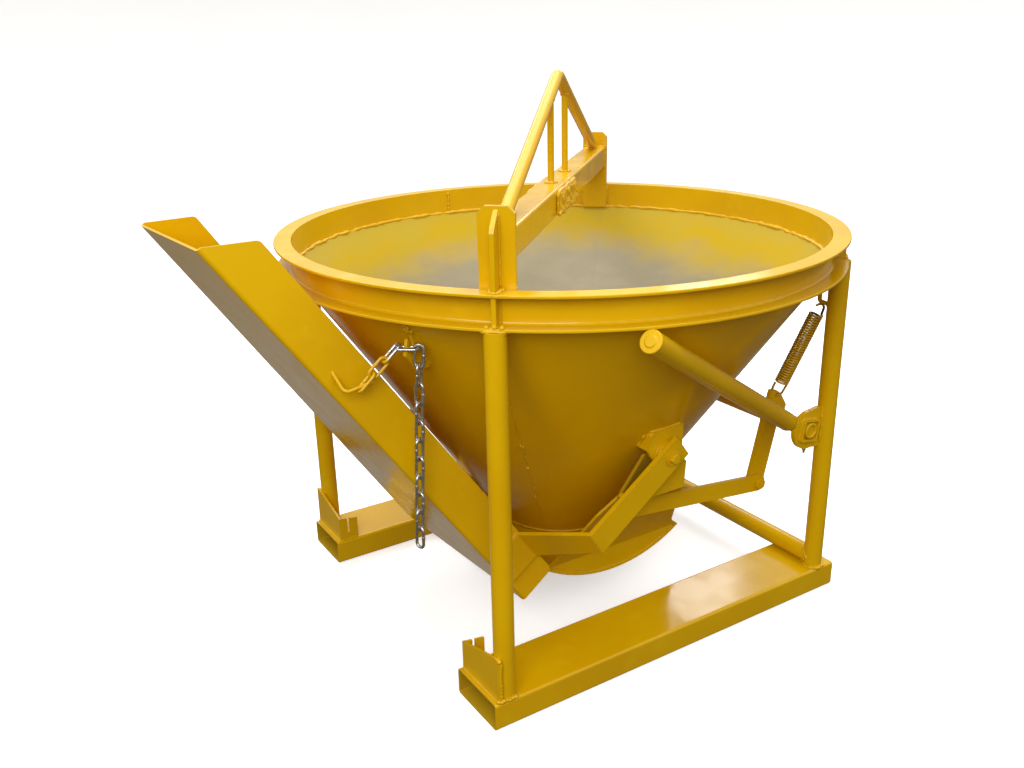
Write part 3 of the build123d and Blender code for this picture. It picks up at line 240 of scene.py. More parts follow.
def hopper_material(name):
    """Yellow outside, bare rolled sheet inside with overspray that thins out downwards."""
    g = Graph(name)
    colour, roughness, height = paint_layers(g, 0.18, 1.0)
    away = g.vec("SUBTRACT", g.co, (AX / 1000, 0, 0))
    x, y, z = g.split(away)
    # uneven second coat outside: darker clouds and faint runs
    coat = g.noise(3.4, 4, 0.6, g.vec("MULTIPLY", away, (1, 1, 0.7)))
    runs = g.noise(16.0, 3, 0.6, g.vec("MULTIPLY", away, (1, 1, 0.22)))
    colour = g.mix(g.ramp(coat, 0.47, 0.70, 0.0, 0.34), colour, (0.60, 0.315, 0.0008))
    colour = g.mix(g.ramp(runs, 0.56, 0.74, 0, 0.22), colour, (0.58, 0.305, 0.0008))
    colour = g.mix(0.45, colour, (0.86, 0.455, 0.0010))
    inside = g.ramp(g.vec("DOT_PRODUCT", g.normal(), g.vec("MULTIPLY", away, (1, 1, 0))), 0.004, -0.004)
    cloud = g.noise(4.2, 3, 0.55, g.vec("MULTIPLY", away, (1, 1, 1.6)))
    wisp = g.noise(11.0, 3, 0.6, g.vec("MULTIPLY", away, (1, 1, 2.4)))
    fleck = g.noise(520.0, 2, 0.6)
    # overspray thins out downwards in soft clouds, and reaches lower on the chute side
    level = g.math("ADD", z, g.math("MULTIPLY", g.math("SUBTRACT", cloud, 0.5), 0.16))
    level = g.math("ADD", level, g.math("MULTIPLY", g.math("SUBTRACT", wisp, 0.5), 0.05))
    level = g.math("ADD", level, g.math("MULTIPLY", x, -0.045))
    # heavier smears towards both sides
    level = g.math("ADD", level, g.math("MULTIPLY", g.ramp(g.math("ADD", g.math("MULTIPLY", x, 0.8), g.math("MULTIPLY", y, -0.5)), 0.22, 0.50), 0.035))
    spray = g.ramp(level, 0.735, 0.870)
    high = g.ramp(level, 0.850, 0.925)
    steel = g.mix(g.ramp(wisp, 0.35, 0.70, 0, 0.6), STEEL, (0.375, 0.338, 0.230))
    dust = g.mix(g.ramp(cloud, 0.40, 0.65), (0.520, 0.342, 0.005), (0.480, 0.338, 0.020))
    dust = g.mix(high, dust, (0.490, 0.350, 0.030))
    dust = g.mix(g.ramp(fleck, 0.52, 0.66, 0, 0.10), dust, (0.48, 0.34, 0.08))
    lining = g.mix(spray, steel, dust)
    colour = g.mix(inside, colour, lining)
    dull = g.lerp(inside, roughness, g.lerp(spray, 0.42, 0.46))
    metal = g.math("MULTIPLY", inside, g.lerp(spray, 0.30, 0.04))
    shine = g.lerp(inside, SHINE, 0.10)
    normal = g.bump(g.math("ADD", height, g.math("MULTIPLY", g.noise(5.0, 2, 0.5), 9.0)), 0.12, 0.0006, g.soft_edge(0.0012))
    return g.set(base_color=colour, roughness=dull, metallic=metal, normal=normal, ior=1.5, specular_ior_level=shine)


paint_hopper = hopper_material("yellow_enamel_hopper")


def pocket_material():
    """Enamel outside; inside the pocket, painted shade that deepens away from its open ends, made uneven with noise."""
    g = Graph("yellow_enamel_pocket")
    colour, roughness, height = paint_layers(g, 0.13, 0.9)
    x, y, z = g.split(g.co)
    n = g.vec("DOT_PRODUCT", g.normal(), (0, 0, 1))
    off = g.math("SUBTRACT", g.math("ABSOLUTE", y), 0.441)
    side = g.math("LESS_THAN", g.math("ABSOLUTE", off), 0.0815)
    floor_or_roof = g.math("LESS_THAN", g.math("ABSOLUTE", g.math("SUBTRACT", z, 0.034)), 0.0315)
    hollow = g.math("MULTIPLY", side, floor_or_roof)
    # painted shade inside the hollow: near black deep inside, lighter towards both mouths
    ends = g.ramp(g.math("ABSOLUTE", g.math("SUBTRACT", x, 0.1389)), 0.33, 0.53)
    mouth_light = g.ramp(g.math("ADD", g.math("MULTIPLY", g.noise(16.0, 4, 0.6), 0.5), g.math("MULTIPLY", ends, 0.75)), 0.25, 0.80)
    painted_inside_shade = g.mix(mouth_light, (0.060, 0.048, 0.018), (0.50, 0.300, 0.003))
    colour = g.mix(hollow, colour, painted_inside_shade)
    roughness = g.lerp(hollow, roughness, 0.5)
    return g.set(base_color=colour, roughness=roughness, normal=g.bump(height, 0.12, 0.0006, g.soft_edge(0.0010)), ior=1.5, specular_ior_level=0.5)


paint_pocket = pocket_material()


def gate_material():
    """Enamel, with painted shade on the wing behind the chute's arm, a little lighter along its outer edge."""
    g = Graph("yellow_enamel_gate_side")
    colour, roughness, height = paint_layers(g, 0.18, 1.0)
    rel = g.vec("SUBTRACT", g.co, (AX / 1000, 0, PIV_Z / 1000))
    x, y, z = g.split(rel)
    # distance from the wing's outer edge
    inset = g.math("ADD", g.vec("DOT_PRODUCT", rel, (0.7842, 0, -0.6205)), 0.0494)
    # painted shade: the wing behind the arm is darkened to brown, less so at its outer edge
    wing_painted_shade = g.math("MULTIPLY", g.ramp(inset, 0.0010, 0.0036, 0.60, 1.0), g.ramp(x, -0.012, -0.040))
    wing_painted_shade = g.math("MULTIPLY", wing_painted_shade, g.ramp(z, -0.112, -0.098))
    colour = g.mix(g.math("MULTIPLY", wing_painted_shade, 0.80), colour, (0.125, 0.068, 0.003))
    roughness = g.lerp(wing_painted_shade, roughness, 0.55)
    return g.set(base_color=colour, roughness=roughness, normal=g.bump(height, 0.16, 0.0006, g.soft_edge(0.0014)), ior=1.5, specular_ior_level=SHINE)


paint_gate_side = gate_material()

# chute directions, as the trough hangs: slightly rolled
CH_DIR = Vector((-0.5653, 0, 0.8249)).normalized()
CH_FLAT = Vector((CH_DIR.z, 0, -CH_DIR.x))
CH_NRM = CH_FLAT * cos(radians(2.4)) + Vector((0, 1, 0)) * sin(radians(2.4))
CH_NEAR = CH_NRM.cross(CH_DIR)
CH_ORG = P(-320.2, 0, 138.1) - CH_FLAT * 0.0105
CH_L, CH_WALL, CH_TAPER = 1.154, 0.105, 100.0 / 1154.0


def chute_material():
    """Enamel, rubbed through to steel on the walls' upper edges and scuffed in the trough."""
    g = Graph("yellow_enamel_chute")
    colour, roughness, height = paint_layers(g, 0.15, 1.0)
    rel = g.vec("SUBTRACT", g.co, tuple(CH_ORG))
    up = g.vec("DOT_PRODUCT", rel, tuple(CH_NRM))
    along = g.vec("DOT_PRODUCT", rel, tuple(CH_DIR))
    edge = g.ramp(up, CH_WALL - 0.0020, CH_WALL - 0.0004)
    reach = g.math("MULTIPLY", g.ramp(along, 0.50, 0.62), g.ramp(along, 0.98, 0.84))
    worn = g.math("MULTIPLY", edge, g.ramp(g.math("ADD", g.noise(34.0, 4, 0.65), g.math("MULTIPLY", reach, 0.20)), 0.56, 0.70))
    # trough inside: thin streaks along the slope
    inner = g.math("MULTIPLY", g.ramp(up, 0.0040, 0.0048), g.ramp(g.vec("DOT_PRODUCT", g.normal(), tuple(CH_NRM)), 0.5, 0.8))
    streak = g.noise(60.0, 4, 0.6, g.vec("MULTIPLY", g.co, (0.15, 1.0, 0.15)))
    scuff = g.math("MULTIPLY", inner, g.ramp(streak, 0.56, 0.74, 0, 0.7))
    colour = g.mix(scuff, colour, (0.40, 0.29, 0.06))
    colour = g.mix(g.math("MULTIPLY", worn, 0.85), colour, (0.26, 0.235, 0.205))
    roughness = g.lerp(scuff, roughness, 0.45)
    roughness = g.lerp(worn, roughness, 0.48)
    normal = g.bump(g.math("ADD", height, g.math("MULTIPLY", worn, -2.0)), 0.12, 0.0005)
    return g.set(base_color=colour, roughness=roughness, metallic=g.math("MULTIPLY", worn, 0.45), normal=normal, ior=1.5, specular_ior_level=SHINE)


paint_chute = chute_material()

RUN_FROM = P(-686.8, -266, 775.84)
HOOK_W = P(-592.5, -291.6, 847.2)
LIE = Vector((0.8, -0.6, 0))
LINK_HALF, LINK_BEND, LINK_R, LINK_IN, LINK_PITCH = 15.3, 10.0, 3.5, 43.6, 43.0
LINK_END = LINK_HALF + LINK_BEND
RUN_TO = HOOK_W - LIE * LINK_END / 1000
RUN_DIR = (RUN_TO - RUN_FROM).normalized()


def chain_material(name, painted):
    """Galvanised links; the lengths near the chute's rod were caught by the paint."""
    g = Graph(name)
    spangle = g.cells(520.0)
    cloud = g.noise(75.0, 4, 0.6)
    zinc = g.mix(g.ramp(spangle, 0.15, 0.75), (0.66, 0.67, 0.69), (0.50, 0.51, 0.53))
    zinc = g.mix(g.ramp(cloud, 0.56, 0.74, 0, 0.75), zinc, (0.25, 0.25, 0.26))
    roughness = g.ramp(cloud, 0.3, 0.75, 0.20, 0.42)
    height = g.math("ADD", g.noise(700.0, 3, 0.6), g.math("MULTIPLY", cloud, 1.2))
    if not painted:
        return g.set(base_color=zinc, roughness=roughness, metallic=0.95, normal=g.bump(height, 0.22, 0.0004))
    along = g.vec("DOT_PRODUCT", g.vec("SUBTRACT", g.co, tuple(RUN_FROM)), tuple(RUN_DIR))
    cover = g.ramp(g.math("ADD", along, g.math("MULTIPLY", g.math("SUBTRACT", g.noise(120.0, 3, 0.6), 0.5), 0.045)), 0.092, 0.074)
    colour, gloss, peel = paint_layers(g, 0.22, 1.0)
    metal = g.math("MULTIPLY", g.math("SUBTRACT", 1.0, cover), 0.95)
    return g.set(base_color=g.mix(cover, zinc, colour), roughness=g.lerp(cover, roughness, gloss), metallic=metal, normal=g.bump(height, 0.22, 0.0004))


def spring_material():
    """Oil-black wire, yellow where it faces (-0.45, -0.80, 0.40), patchy with noise."""
    g = Graph("painted_spring_wire")
    colour, gloss, peel = paint_layers(g, 0.26, 1.0)
    facing = g.vec("DOT_PRODUCT", g.normal(), (-0.45, -0.80, 0.40))
    # the far half of the coil is kept dark
    top, low = P(491.0, -457.0, 801.0), P(444.0, -370.5, 539.0)
    axis = (low - top).normalized()
    front = Vector((-0.45, -0.80, 0.40))
    front = (front - axis * front.dot(axis)).normalized()
    near = g.ramp(g.vec("DOT_PRODUCT", g.vec("SUBTRACT", g.co, tuple(top)), tuple(front)), -0.004, 0.006, 0.12, 1.0)
    cover = g.ramp(g.math("ADD", facing, g.math("MULTIPLY", g.math("SUBTRACT", g.noise(140.0, 3, 0.6), 0.5), 0.9)), -0.10, 0.50, 0.06, 0.92)
    cover = g.math("MULTIPLY", cover, near)
    wire = g.mix(g.noise(90.0, 3, 0.6), (0.055, 0.042, 0.028), (0.13, 0.10, 0.06))
    metal = g.math("MULTIPLY", g.math("SUBTRACT", 1.0, cover), 0.8)
    return g.set(base_color=g.mix(cover, wire, colour), roughness=g.lerp(cover, 0.38, gloss), metallic=metal, normal=g.bump(g.noise(500.0, 3, 0.6), 0.25, 0.0004))


def floor_material():
    g = Graph("pale_floor")
    tone = g.noise(0.9, 3, 0.5)
    colour = g.mix(g.ramp(tone, 0.3, 0.7), (0.86, 0.86, 0.855), (0.88, 0.88, 0.875))
    return g.set(base_color=colour, roughness=0.75, normal=g.bump(g.noise(60.0, 2, 0.5), 0.02, 0.001), emission_color=(1, 1, 1), emission_strength=0.47)


chain_zinc = chain_material("galvanised_chain", False)
chain_mixed = chain_material("part_painted_chain", True)
spring_wire = spring_material()

BY_NODE = {}
for name in nodes:
    if name.startswith(("hopper_cone", "cone_plate")):
        BY_NODE[name] = paint_hopper
    elif name.startswith("fork_pocket"):
        BY_NODE[name] = paint_pocket
    elif name.startswith("gate_side"):
        BY_NODE[name] = paint_gate_side
    elif name == "chute_trough":
        BY_NODE[name] = paint_chute
    elif name in ("chain_tail", "grease_nipples"):
        BY_NODE[name] = chain_zinc
    elif name == "chain_run":
        BY_NODE[name] = chain_mixed
    elif name == "return_spring":
        BY_NODE[name] = spring_wire
    elif name.startswith(("leg_", "base_tie", "handle", "cross_shaft", "lifting_bail", "bail_keepers")):
        BY_NODE[name] = paint_tube
    elif name.startswith(("pivot_bolts", "pivot_washers", "pivot_nuts", "gate_pins", "gate_stop", "crank_bolts", "crank_nuts", "shaft_plugs", "shaft_keepers", "spring_anchor", "chain_hook", "chain_staple")):
        BY_NODE[name] = paint_small
    elif name.startswith(("chute_arm", "link_", "bell_crank", "shaft_bearing", "beam", "lifting_beam", "post_ribs", "rim_ribs")):
        BY_NODE[name] = paint_bar
    else:
        BY_NODE[name] = paint_sheet
for name, material in BY_NODE.items():
    nodes[name].data.materials.clear()
    nodes[name].data.materials.append(material)


# ---------------------------------------------------------------- mesh helpers
class Shape:
    """Collects closed tubes and lumps into one mesh."""

    def __init__(self):
        self.v, self.f, self.n = [], [], 0

    def add(self, verts, faces):
        self.v.append(np.asarray(verts, float))
        self.f += [tuple(i + self.n for i in q) for q in faces]
        self.n += len(verts)

    def tube(self, pts, radii, sides=8, closed=False, squeeze=None):
        pts = np.asarray(pts, float)
        radii = np.broadcast_to(np.asarray(radii, float), (len(pts),))
        count = len(pts)
        if closed:
            tan = np.roll(pts, -1, 0) - np.roll(pts, 1, 0)
        else:
            tan = np.gradient(pts, axis=0)
        tan /= np.maximum(np.linalg.norm(tan, axis=1, keepdims=True), 1e-12)
        first = np.array([0, 0, 1.0]) if abs(tan[0][2]) < 0.9 else np.array([1.0, 0, 0])
        u = np.cross(tan[0], first)
        u /= np.linalg.norm(u)
        us = [u]
        for k in range(1, count):
            u = us[-1] - tan[k] * (us[-1] @ tan[k])
            us.append(u / np.linalg.norm(u))
        us = np.array(us)
        ws = np.cross(tan, us)
        ang = np.arange(sides) * 2 * pi / sides
        rings = pts[:, None] + radii[:, None, None] * (np.cos(ang)[None, :, None] * us[:, None] + np.sin(ang)[None, :, None] * ws[:, None])
        verts = rings.reshape(-1, 3)
        faces = []
        for k in range(count if closed else count - 1):
            a, b = k * sides, ((k + 1) % count) * sides
            for j in range(sides):
                i = (j + 1) % sides
                faces.append((a + j, a + i, b + i, b + j))
        if not closed:
            verts = np.vstack([verts, pts[0], pts[-1]])
            s, e = count * sides, count * sides + 1
            last = (count - 1) * sides
            for j in range(sides):
                i = (j + 1) % sides
                faces.append((s, i, j))
                faces.append((e, last + j, last + i))
        self.add(verts, faces)

    def lump(self, at, r, seed, flat=(1, 1, 1)):
        """A small uneven blob."""
        at = Vector(at)
        nu, nv = 12, 7
        verts = []
        for j in range(1, nv):
            th = pi * j / nv
            for i in range(nu):
                ph = 2 * pi * i / nu
                d = Vector((sin(th) * cos(ph), sin(th) * sin(ph), cos(th)))
                k = 1 + 0.32 * noise.noise(d * 1.7 + Vector((seed * 3.1, seed * 1.7, seed)))
                verts.append([at[q] + d[q] * r * k * flat[q] for q in range(3)])
        top, low = len(verts), len(verts) + 1
        verts += [[at.x, at.y, at.z + r * flat[2]], [at.x, at.y, at.z - r * flat[2]]]
        faces = []
        for j in range(nv - 2):
            for i in range(nu):
                k = (i + 1) % nu
                faces.append((j * nu + i, (j + 1) * nu + i, (j + 1) * nu + k, j * nu + k))
        for i in range(nu):
            k = (i + 1) % nu
            faces.append((top, i, k))
            faces.append((low, (nv - 2) * nu + k, (nv - 2) * nu + i))
        self.add(verts, faces)

    def done(self, name, material, body):
        mesh = bpy.data.meshes.new(name)
        mesh.from_pydata(np.vstack(self.v).tolist(), [], self.f)
        mesh.update()
        mesh.polygons.foreach_set("use_smooth", [True] * len(mesh.polygons))
        mesh.materials.append(material)
        obj = bpy.data.objects.new(name, mesh)
        scene.collection.objects.link(obj)
        if body:
            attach(obj, body)
        return obj


def resample(pts, step, closed=False):
    pts = np.asarray([tuple(p) for p in pts], float)
    if closed:
        pts = np.vstack([pts, pts[:1]])
    seg = np.linalg.norm(np.diff(pts, axis=0), axis=1)
    run = np.concatenate([[0], np.cumsum(seg)])
    count = max(4, int(round(run[-1] / step)))
    want = np.linspace(0, run[-1], count + 1)
    if closed:
        want = want[:-1]
    return np.stack([np.interp(want, run, pts[:, k]) for k in range(3)], 1), want


def bead(shape, pts, r, seed=0, pitch=None, closed=False, rough=0.22, wander=0.25, sides=8):
    """A weld run in millimetre radius along points in metres: overlapping ripples of uneven width."""
    r = r / 1000
    pitch = pitch / 1000 if pitch else r * 1.15
    line, s = resample(pts, pitch / 4, closed)
    length = s[-1] + (pitch / 4 if closed else 0)
    if closed:
        pitch = length / max(1, round(length / pitch))
    off = seed * 7.31

    def wave(freq, lane):
        if closed:
            return np.array([noise.noise((cos(2 * pi * k / length) * length * freq / 6.283 + off, sin(2 * pi * k / length) * length * freq / 6.283 + lane * 5.7, lane)) for k in s])
        return np.array([noise.noise((k * freq + off, lane * 5.7, lane * 1.3)) for k in s])

    phase = s / pitch if closed else s / pitch + 0.6 * wave(50, 1)
    ripple = np.abs(np.sin(pi * phase)) ** 0.7
    rad = r * (0.80 + 0.20 * ripple) * (1 + rough * 1.6 * wave(0.22 / r, 2))
    if not closed:
        tail = np.clip(np.minimum(s, length - s) / (1.6 * r), 0, 1)
        rad *= 0.35 + 0.65 * np.sqrt(tail)
    moved = line + np.stack([wave(0.16 / r, 3), wave(0.16 / r, 4), wave(0.16 / r, 5)], 1) * r * wander
    shape.tube(moved, rad, sides, closed)


def cluster(shape, centre, u, v, half_u, half_v, count, r, seed, flat=(1, 1, 1)):
    """Overlapping blobs of weld metal spread over a small patch; sizes in millimetres, centre in metres."""
    for k in range(count):
        a = noise.noise((seed * 1.3 + k * 1.91, seed * 0.7, k * 0.37)) * 1.9
        b = noise.noise((seed * 0.9, seed * 1.7 + k * 2.23, k * 0.53)) * 1.9
        a, b = max(-1, min(1, a)), max(-1, min(1, b))
        shape.lump(centre + Vector(u) * (a * half_u / 1000) + Vector(v) * (b * half_v / 1000), r * (0.75 + 0.5 * abs(a * b) + 0.18 * (k % 3)) / 1000, seed + k, flat)


def ring(centre, radius, n=48, axis=(0, 0, 1), a0=0.0, a1=360.0):
    """Points on a circle, radius in millimetres, centre in metres."""
    axis = Vector(axis).normalized()
    u = axis.orthogonal().normalized() if abs(axis.z) < 0.99 else Vector((1, 0, 0))
    w = axis.cross(u)
    full = abs(a1 - a0) >= 360
    count = n if full else n + 1
    return [centre + (u * cos(radians(a0 + (a1 - a0) * k / n)) + w * sin(radians(a0 + (a1 - a0) * k / n))) * radius / 1000 for k in range(count)]


def hopper_ring(r, z, n=240):
    return [polar(r, 360 * k / n, z) for k in range(n)]


# ---------------------------------------------------------------- welds of the hopper
w = Shape()
bead(w, hopper_ring(675.2, 924.4), 5.2, 1, 7.5, True, 0.42, 0.50)
bead(w, hopper_ring(678.8, 917.4), 3.6, 2, 5.0, True, 0.22)
bead(w, hopper_ring(182.4, 199.6, 120), 3.4, 3, 4.6, True, 0.25)
bead(w, hopper_ring(175.4, 200.4, 120), 2.6, 4, 4.6, True, 0.25)
w.done("weld_hopper_rings", paint_weld, "frame")

w = Shape()
for k in range(4):
    deg = CONE_SEAM + 90 * k
    bead(w, [polar(cone_r(z) - 0.9, deg, z) for z in (214, 400, 650, 912)], 2.4, 10 + k, 4.0, False, 0.45, 0.5)
    for j, z in enumerate((352, 468, 545, 552, 700, 830, 838)):
        w.lump(polar(cone_r(z) + 0.4, deg + 0.18 * (j % 3 - 1), z), 0.0034 + 0.0008 * (j % 2), 30 + 7 * k + j, (1, 1, 1.3))
bead(w, [polar(677.0, RIM_JOINT, z) for z in (925, 960, 994)], 3.4, 41, 4.8, False, 0.45, 0.5)
bead(w, [polar(r, RIM_JOINT, 994.6) for r in (679, 700, 718)], 2.0, 42, 3.6, False, 0.3)
bead(w, [polar(683.3, RIM_JOINT, z) for z in (934, 960, 981)], 2.2, 43, 4.0, False, 0.3)
for j, z in enumerate((938, 951, 966, 983)):
    w.lump(polar(676.6, RIM_JOINT + 0.1 * (j % 2), z), 0.0040 + 0.0005 * (j % 2), 44 + j)
w.done("weld_hopper_seams", paint_weld, "frame")

# ---------------------------------------------------------------- welds of legs, base and rest plates
w = Shape()
for i, (sx, sy) in enumerate(((-1, -1), (1, -1), (-1, 1), (1, 1))):
    foot = P(sx * LEG_X, sy * LEG_Y, 68.4)
    bead(w, ring(foot, LEG_R + 1.2, 40), 4.4, 50 + i, 6.0, True, 0.40, 0.45)
    for j, deg in enumerate((205, 232, 262, 300, 25, 110)):
        a = radians(deg)
        w.lump(foot + Vector((cos(a), sin(a), 0.05)) * 0.0275, 0.0046 + 0.0012 * (j % 2), 400 + 6 * i + j, (1, 1, 0.7))
    head = P(sx * LEG_X, sy * LEG_Y, 919.2)
    out = degrees(atan2(sy * LEG_Y, sx * LEG_X))
    bead(w, ring(head, LEG_R + 0.6, 40, (0, 0, 1), out + 62, out + 298), 4.4, 60 + i, 6.0, False, 0.45, 0.45)
    # heavier run where the leg meets the flange's outer edge
    bead(w, [polar(719.5, out + d, 921.5) for d in (-1.9, -0.9, 0.1, 1.0, 1.9)], 4.8, 70 + i, 6.0, False, 0.5, 0.5)
    for j, (d, r, z, k) in enumerate(((-1.2, 715.5, 928, 5.6), (0.1, 716.0, 929.5, 5.0), (1.3, 715.5, 928.5, 5.8), (-0.5, 715.5, 923.5, 5.4), (0.8, 715.5, 922.5, 5.0), (-1.7, 714.5, 919.0, 6.0), (1.6, 714.5, 918.6, 6.4), (0.0, 715.5, 916.8, 5.6), (-0.8, 716.0, 915.4, 4.6), (0.9, 716.0, 914.6, 4.8))):
        w.lump(polar(r, out + d, z), k / 1000, 80 + 11 * i + j)
for side in (-1, 1):
    saddle = [P(LEG_X + 24.5 * cos(a), side * (LEG_Y - 24.5 * abs(sin(a)) - 0.3), 92.2 + 24.5 * sin(a)) for a in [2 * pi * k / 60 for k in range(60)]]
    bead(w, saddle, 3.2, 90 + side, 4.6, True, 0.25)
    # rest plate: to the leg, and along both feet
    bead(w, [P(-522.0, side * 517.0, z) for z in (71, 110, 145, 170)], 6.2, 95 + side, 9.0, False, 0.22, 0.25)
    bead(w, [P(-521.0, side * 511.0, z) for z in (71, 110, 145, 172)], 6.0, 94 + side, 9.0, False, 0.22, 0.25)
    bead(w, [P(-524.0, side * 505.0, z) for z in (71, 110, 145, 171)], 5.2, 93 + side, 9.0, False, 0.22, 0.25)
    bead(w, [P(-522.6, side * 483, z) for z in (72, 110, 150, 176)], 4.0, 96 + side, 5.0, False, 0.35)
    cluster(w, P(-522, side * 512, 173), (1, 0, 0), (0, 1, 0), 4, 7, 5, 4.2, 97 + side)
    cluster(w, P(-523, side * 519, 70.5), (1, 0, 0), (0, 1, 0), 8, 6, 7, 4.8, 99 + side, (1, 1, 0.8))
    bead(w, [P(-523.6, side * y, 68.8) for y in (368, 420, 474)], 3.0, 98 + side, 4.6, False, 0.25)
    bead(w, [P(-530.7, side * y, 68.6) for y in (364, 440, 518)], 2.8, 101 + side, 4.6, False, 0.3)
    bead(w, [P(x, side * 360.6, 68.6) for x in (-527, -500, -477)], 2.6, 104 + side, 4.6, False, 0.25)
w.done("weld_base_frame", paint_weld, "frame")

# ---------------------------------------------------------------- welds of the lifting gear
w = Shape()
for e in (-1, 1):
    for t in (-38.6, 38.6):
        bead(w, [D(e * 673.4, t, z) for z in (932, 960, 992)], 3.4, 110 + e + t, 5.0, False, 0.3)
        bead(w, [D(e * 671.0, t * 0.985, z) for z in (996.6, 1000)], 3.0, 111 + e + t, 4.0, False, 0.3)
    for t in (-5.9, 5.9):
        bead(w, [D(e * 677.4, t, z) for z in (1001, 1060, 1120, 1146)], 2.8, 112 + e + t, 4.4, False, 0.28)
        bead(w, [D(e * s, t, 995.9) for s in (679, 698, 714)], 3.4, 113 + e + t, 5.0, False, 0.45, 0.4)
    bead(w, [D(e * 715.4, t, 996.6) for t in (-5.5, 0, 5.5)], 3.4, 114 + e, 5.0, False, 0.45, 0.4)
    for j, (s, t, k) in enumerate(((702, -8.5, 5.6), (709, 8.0, 5.2), (690, -9.0, 5.2), (711, -6.0, 5.0), (688, 10.0, 5.4), (697, 9.5, 5.0), (684, -12.0, 5.2), (711, 1.5, 5.4), (684, 14.0, 4.8))):
        w.lump(D(e * s, t, 996.6), k / 1000, 120 + 9 * e + j, (1, 1, 0.75))
    # beam end on the post
    c = (1050 + 1115) / 2
    loop = [D(e * 662.8, 32.8 * x, c + 32.8 * y) for x, y in ((-1, -1), (0, -1), (1, -1), (1, 0), (1, 1), (0, 1), (-1, 1), (-1, 0))]
    bead(w, loop, 3.2, 130 + e, 4.6, True, 0.28)
    # bail foot on the beam
    foot = [D(e * (632 - 1 + 40.5 * cos(a)) if cos(a) * e * e < 0.80 else e * 663.0, 15.2 * sin(a), 1115.4) for a in [2 * pi * k / 60 for k in range(60)]]
    bead(w, foot, 3.2, 134 + e, 4.6, True, 0.3)
    # keeper rods, foot and top
    bead(w, ring(D(e * 100, 0, 1115.6), 9.0, 28), 3.6, 138 + e, 5.0, True, 0.45, 0.45)
    for j in range(5):
        a = radians(72 * j + 20 * e)
        w.lump(D(e * 100 + 12.5 * cos(a), 12.5 * sin(a), 1116.2), 0.0050 + 0.0010 * (j % 2), 142 + 6 * e + j, (1, 1, 0.75))
    top_z = 1364 - (1364 - 1115) / 632 * 100 - 15 * sqrt(1 + ((1364 - 1115) / 632) ** 2)
    slope = -(1364 - 1115) / 632 * e
    crown = [D(e * 100 + 8.8 * cos(a), 8.8 * sin(a), top_z + slope * 8.8 * cos(a) + 1.6 * sin(a) ** 2 - 0.4) for a in [2 * pi * k / 28 for k in range(28)]]
    bead(w, crown, 3.0, 146 + e, 4.6, True, 0.4, 0.4)
w.done("weld_lifting_gear", paint_weld, "frame")

# the doublers are plastered with rough vertical runs, some of them dripping below the edge
w = Shape()
for side in (-1, 1):
    for k in range(21):
        s = -203.0 + 12.2 * k + 3.0 * noise.noise((k * 1.37, side, 0.4))
        hi = 1106 - 11 * abs(noise.noise((k * 2.17, side * 1.9, 1.1)))
        lo = 1056 - 9 * noise.noise((k * 1.71, side * 2.3, 2.2))
        r = 3.3 + 1.9 * abs(noise.noise((k * 0.93, side * 3.1, 3.3)))
        bead(w, [D(s + 2.2 * sin(j * 1.3 + k), side * (40.0 if 0 < k < 20 else 36.0), lo + (hi - lo) * j / 8) for j in range(9)], r, 160 + 5 * k + side, 6.2, False, 0.65, 0.6)
        w.lump(D(s, side * 40.5, lo + 2), r * 1.35 / 1000, 300 + 2 * k + side, (1, 1, 1.25))
    for z in (1107.6, 1057.4):
        bead(w, [D(t, side * 36.0, z) for t in (-200, -80, 40)], 3.6, 210 + side + z, 5.6, False, 0.45, 0.4)
w.done("weld_beam_doublers", paint_weld, "frame")

# ---------------------------------------------------------------- welds of pivots, bearings, hook and anchor
w = Shape()
for side in (-1, 1):
    for x in (-54.8, -45.2):
        bead(w, [P(PIV_X + x, side * (cone_y(PIV_X + x, z) + 0.8), z) for z in (527, 540, 553, 564)], 3.4, 220 + x, 4.8, False, 0.35)
    bead(w, [P(PIV_X + x, side * (cone_y(PIV_X + x, 573.6 + x * 0.032) + 0.8), 573.6 + x * 0.032) for x in (-44, -15, 20, 50)], 3.8, 228 + side, 5.0, False, 0.4)
    cluster(w, P(PIV_X - 46, side * 441, 567.5), (1, 0, 0), (0, 1, 0), 5, 6, 4, 3.6, 229 + side)
    for y, xx in ((488.6, 477.0), (503.4, 475.9)):
        bead(w, [P(xx, side * y, z) for z in (440, 470, 505, 539)], 3.4, 230 + y + side, 4.8, False, 0.35)
    frame_pts = [P(SHAFT_X + 30.9 * (0.985 * x + 0.174 * z), side * 502.6, SHAFT_Z + 30.9 * (0.985 * z - 0.174 * x)) for x, z in ((0.62, -1), (0, -1), (-0.85, -1), (-1, -0.85), (-1, 0), (-1, 0.85), (-0.85, 1), (0, 1), (0.62, 1))]
    bead(w, frame_pts, 2.3, 236 + side, 4.0, False, 0.3)
for t in (-4.6, 4.6):
    hook_deg = degrees(atan2(-291.6, -592.5))
    bead(w, [polar(cone_r(z) + 0.8, hook_deg + degrees(t / 640), z) for z in (790, 820, 850, 884)], 3.0, 240 + t, 4.6, False, 0.35)
for j, (z, t, k) in enumerate(((886, 0.0, 7.4), (893, 0.35, 6.0), (888, -0.5, 5.8), (882, 0.6, 5.2), (897, -0.1, 5.0))):
    w.lump(polar(cone_r(z) + 1.5, degrees(atan2(-291.6, -592.5)) + t, z), k / 1000, 244 + j)
bead(w, ring(P(490, -451, 918.2), 5.4, 20), 2.6, 246, 4.0, True, 0.4)
w.lump(P(496.2, -476.5, 802.4), 0.0058, 247)
w.lump(P(494.2, -474.4, 800.0), 0.0042, 248)
w.done("weld_pivots_and_bearings", paint_weld, "frame")

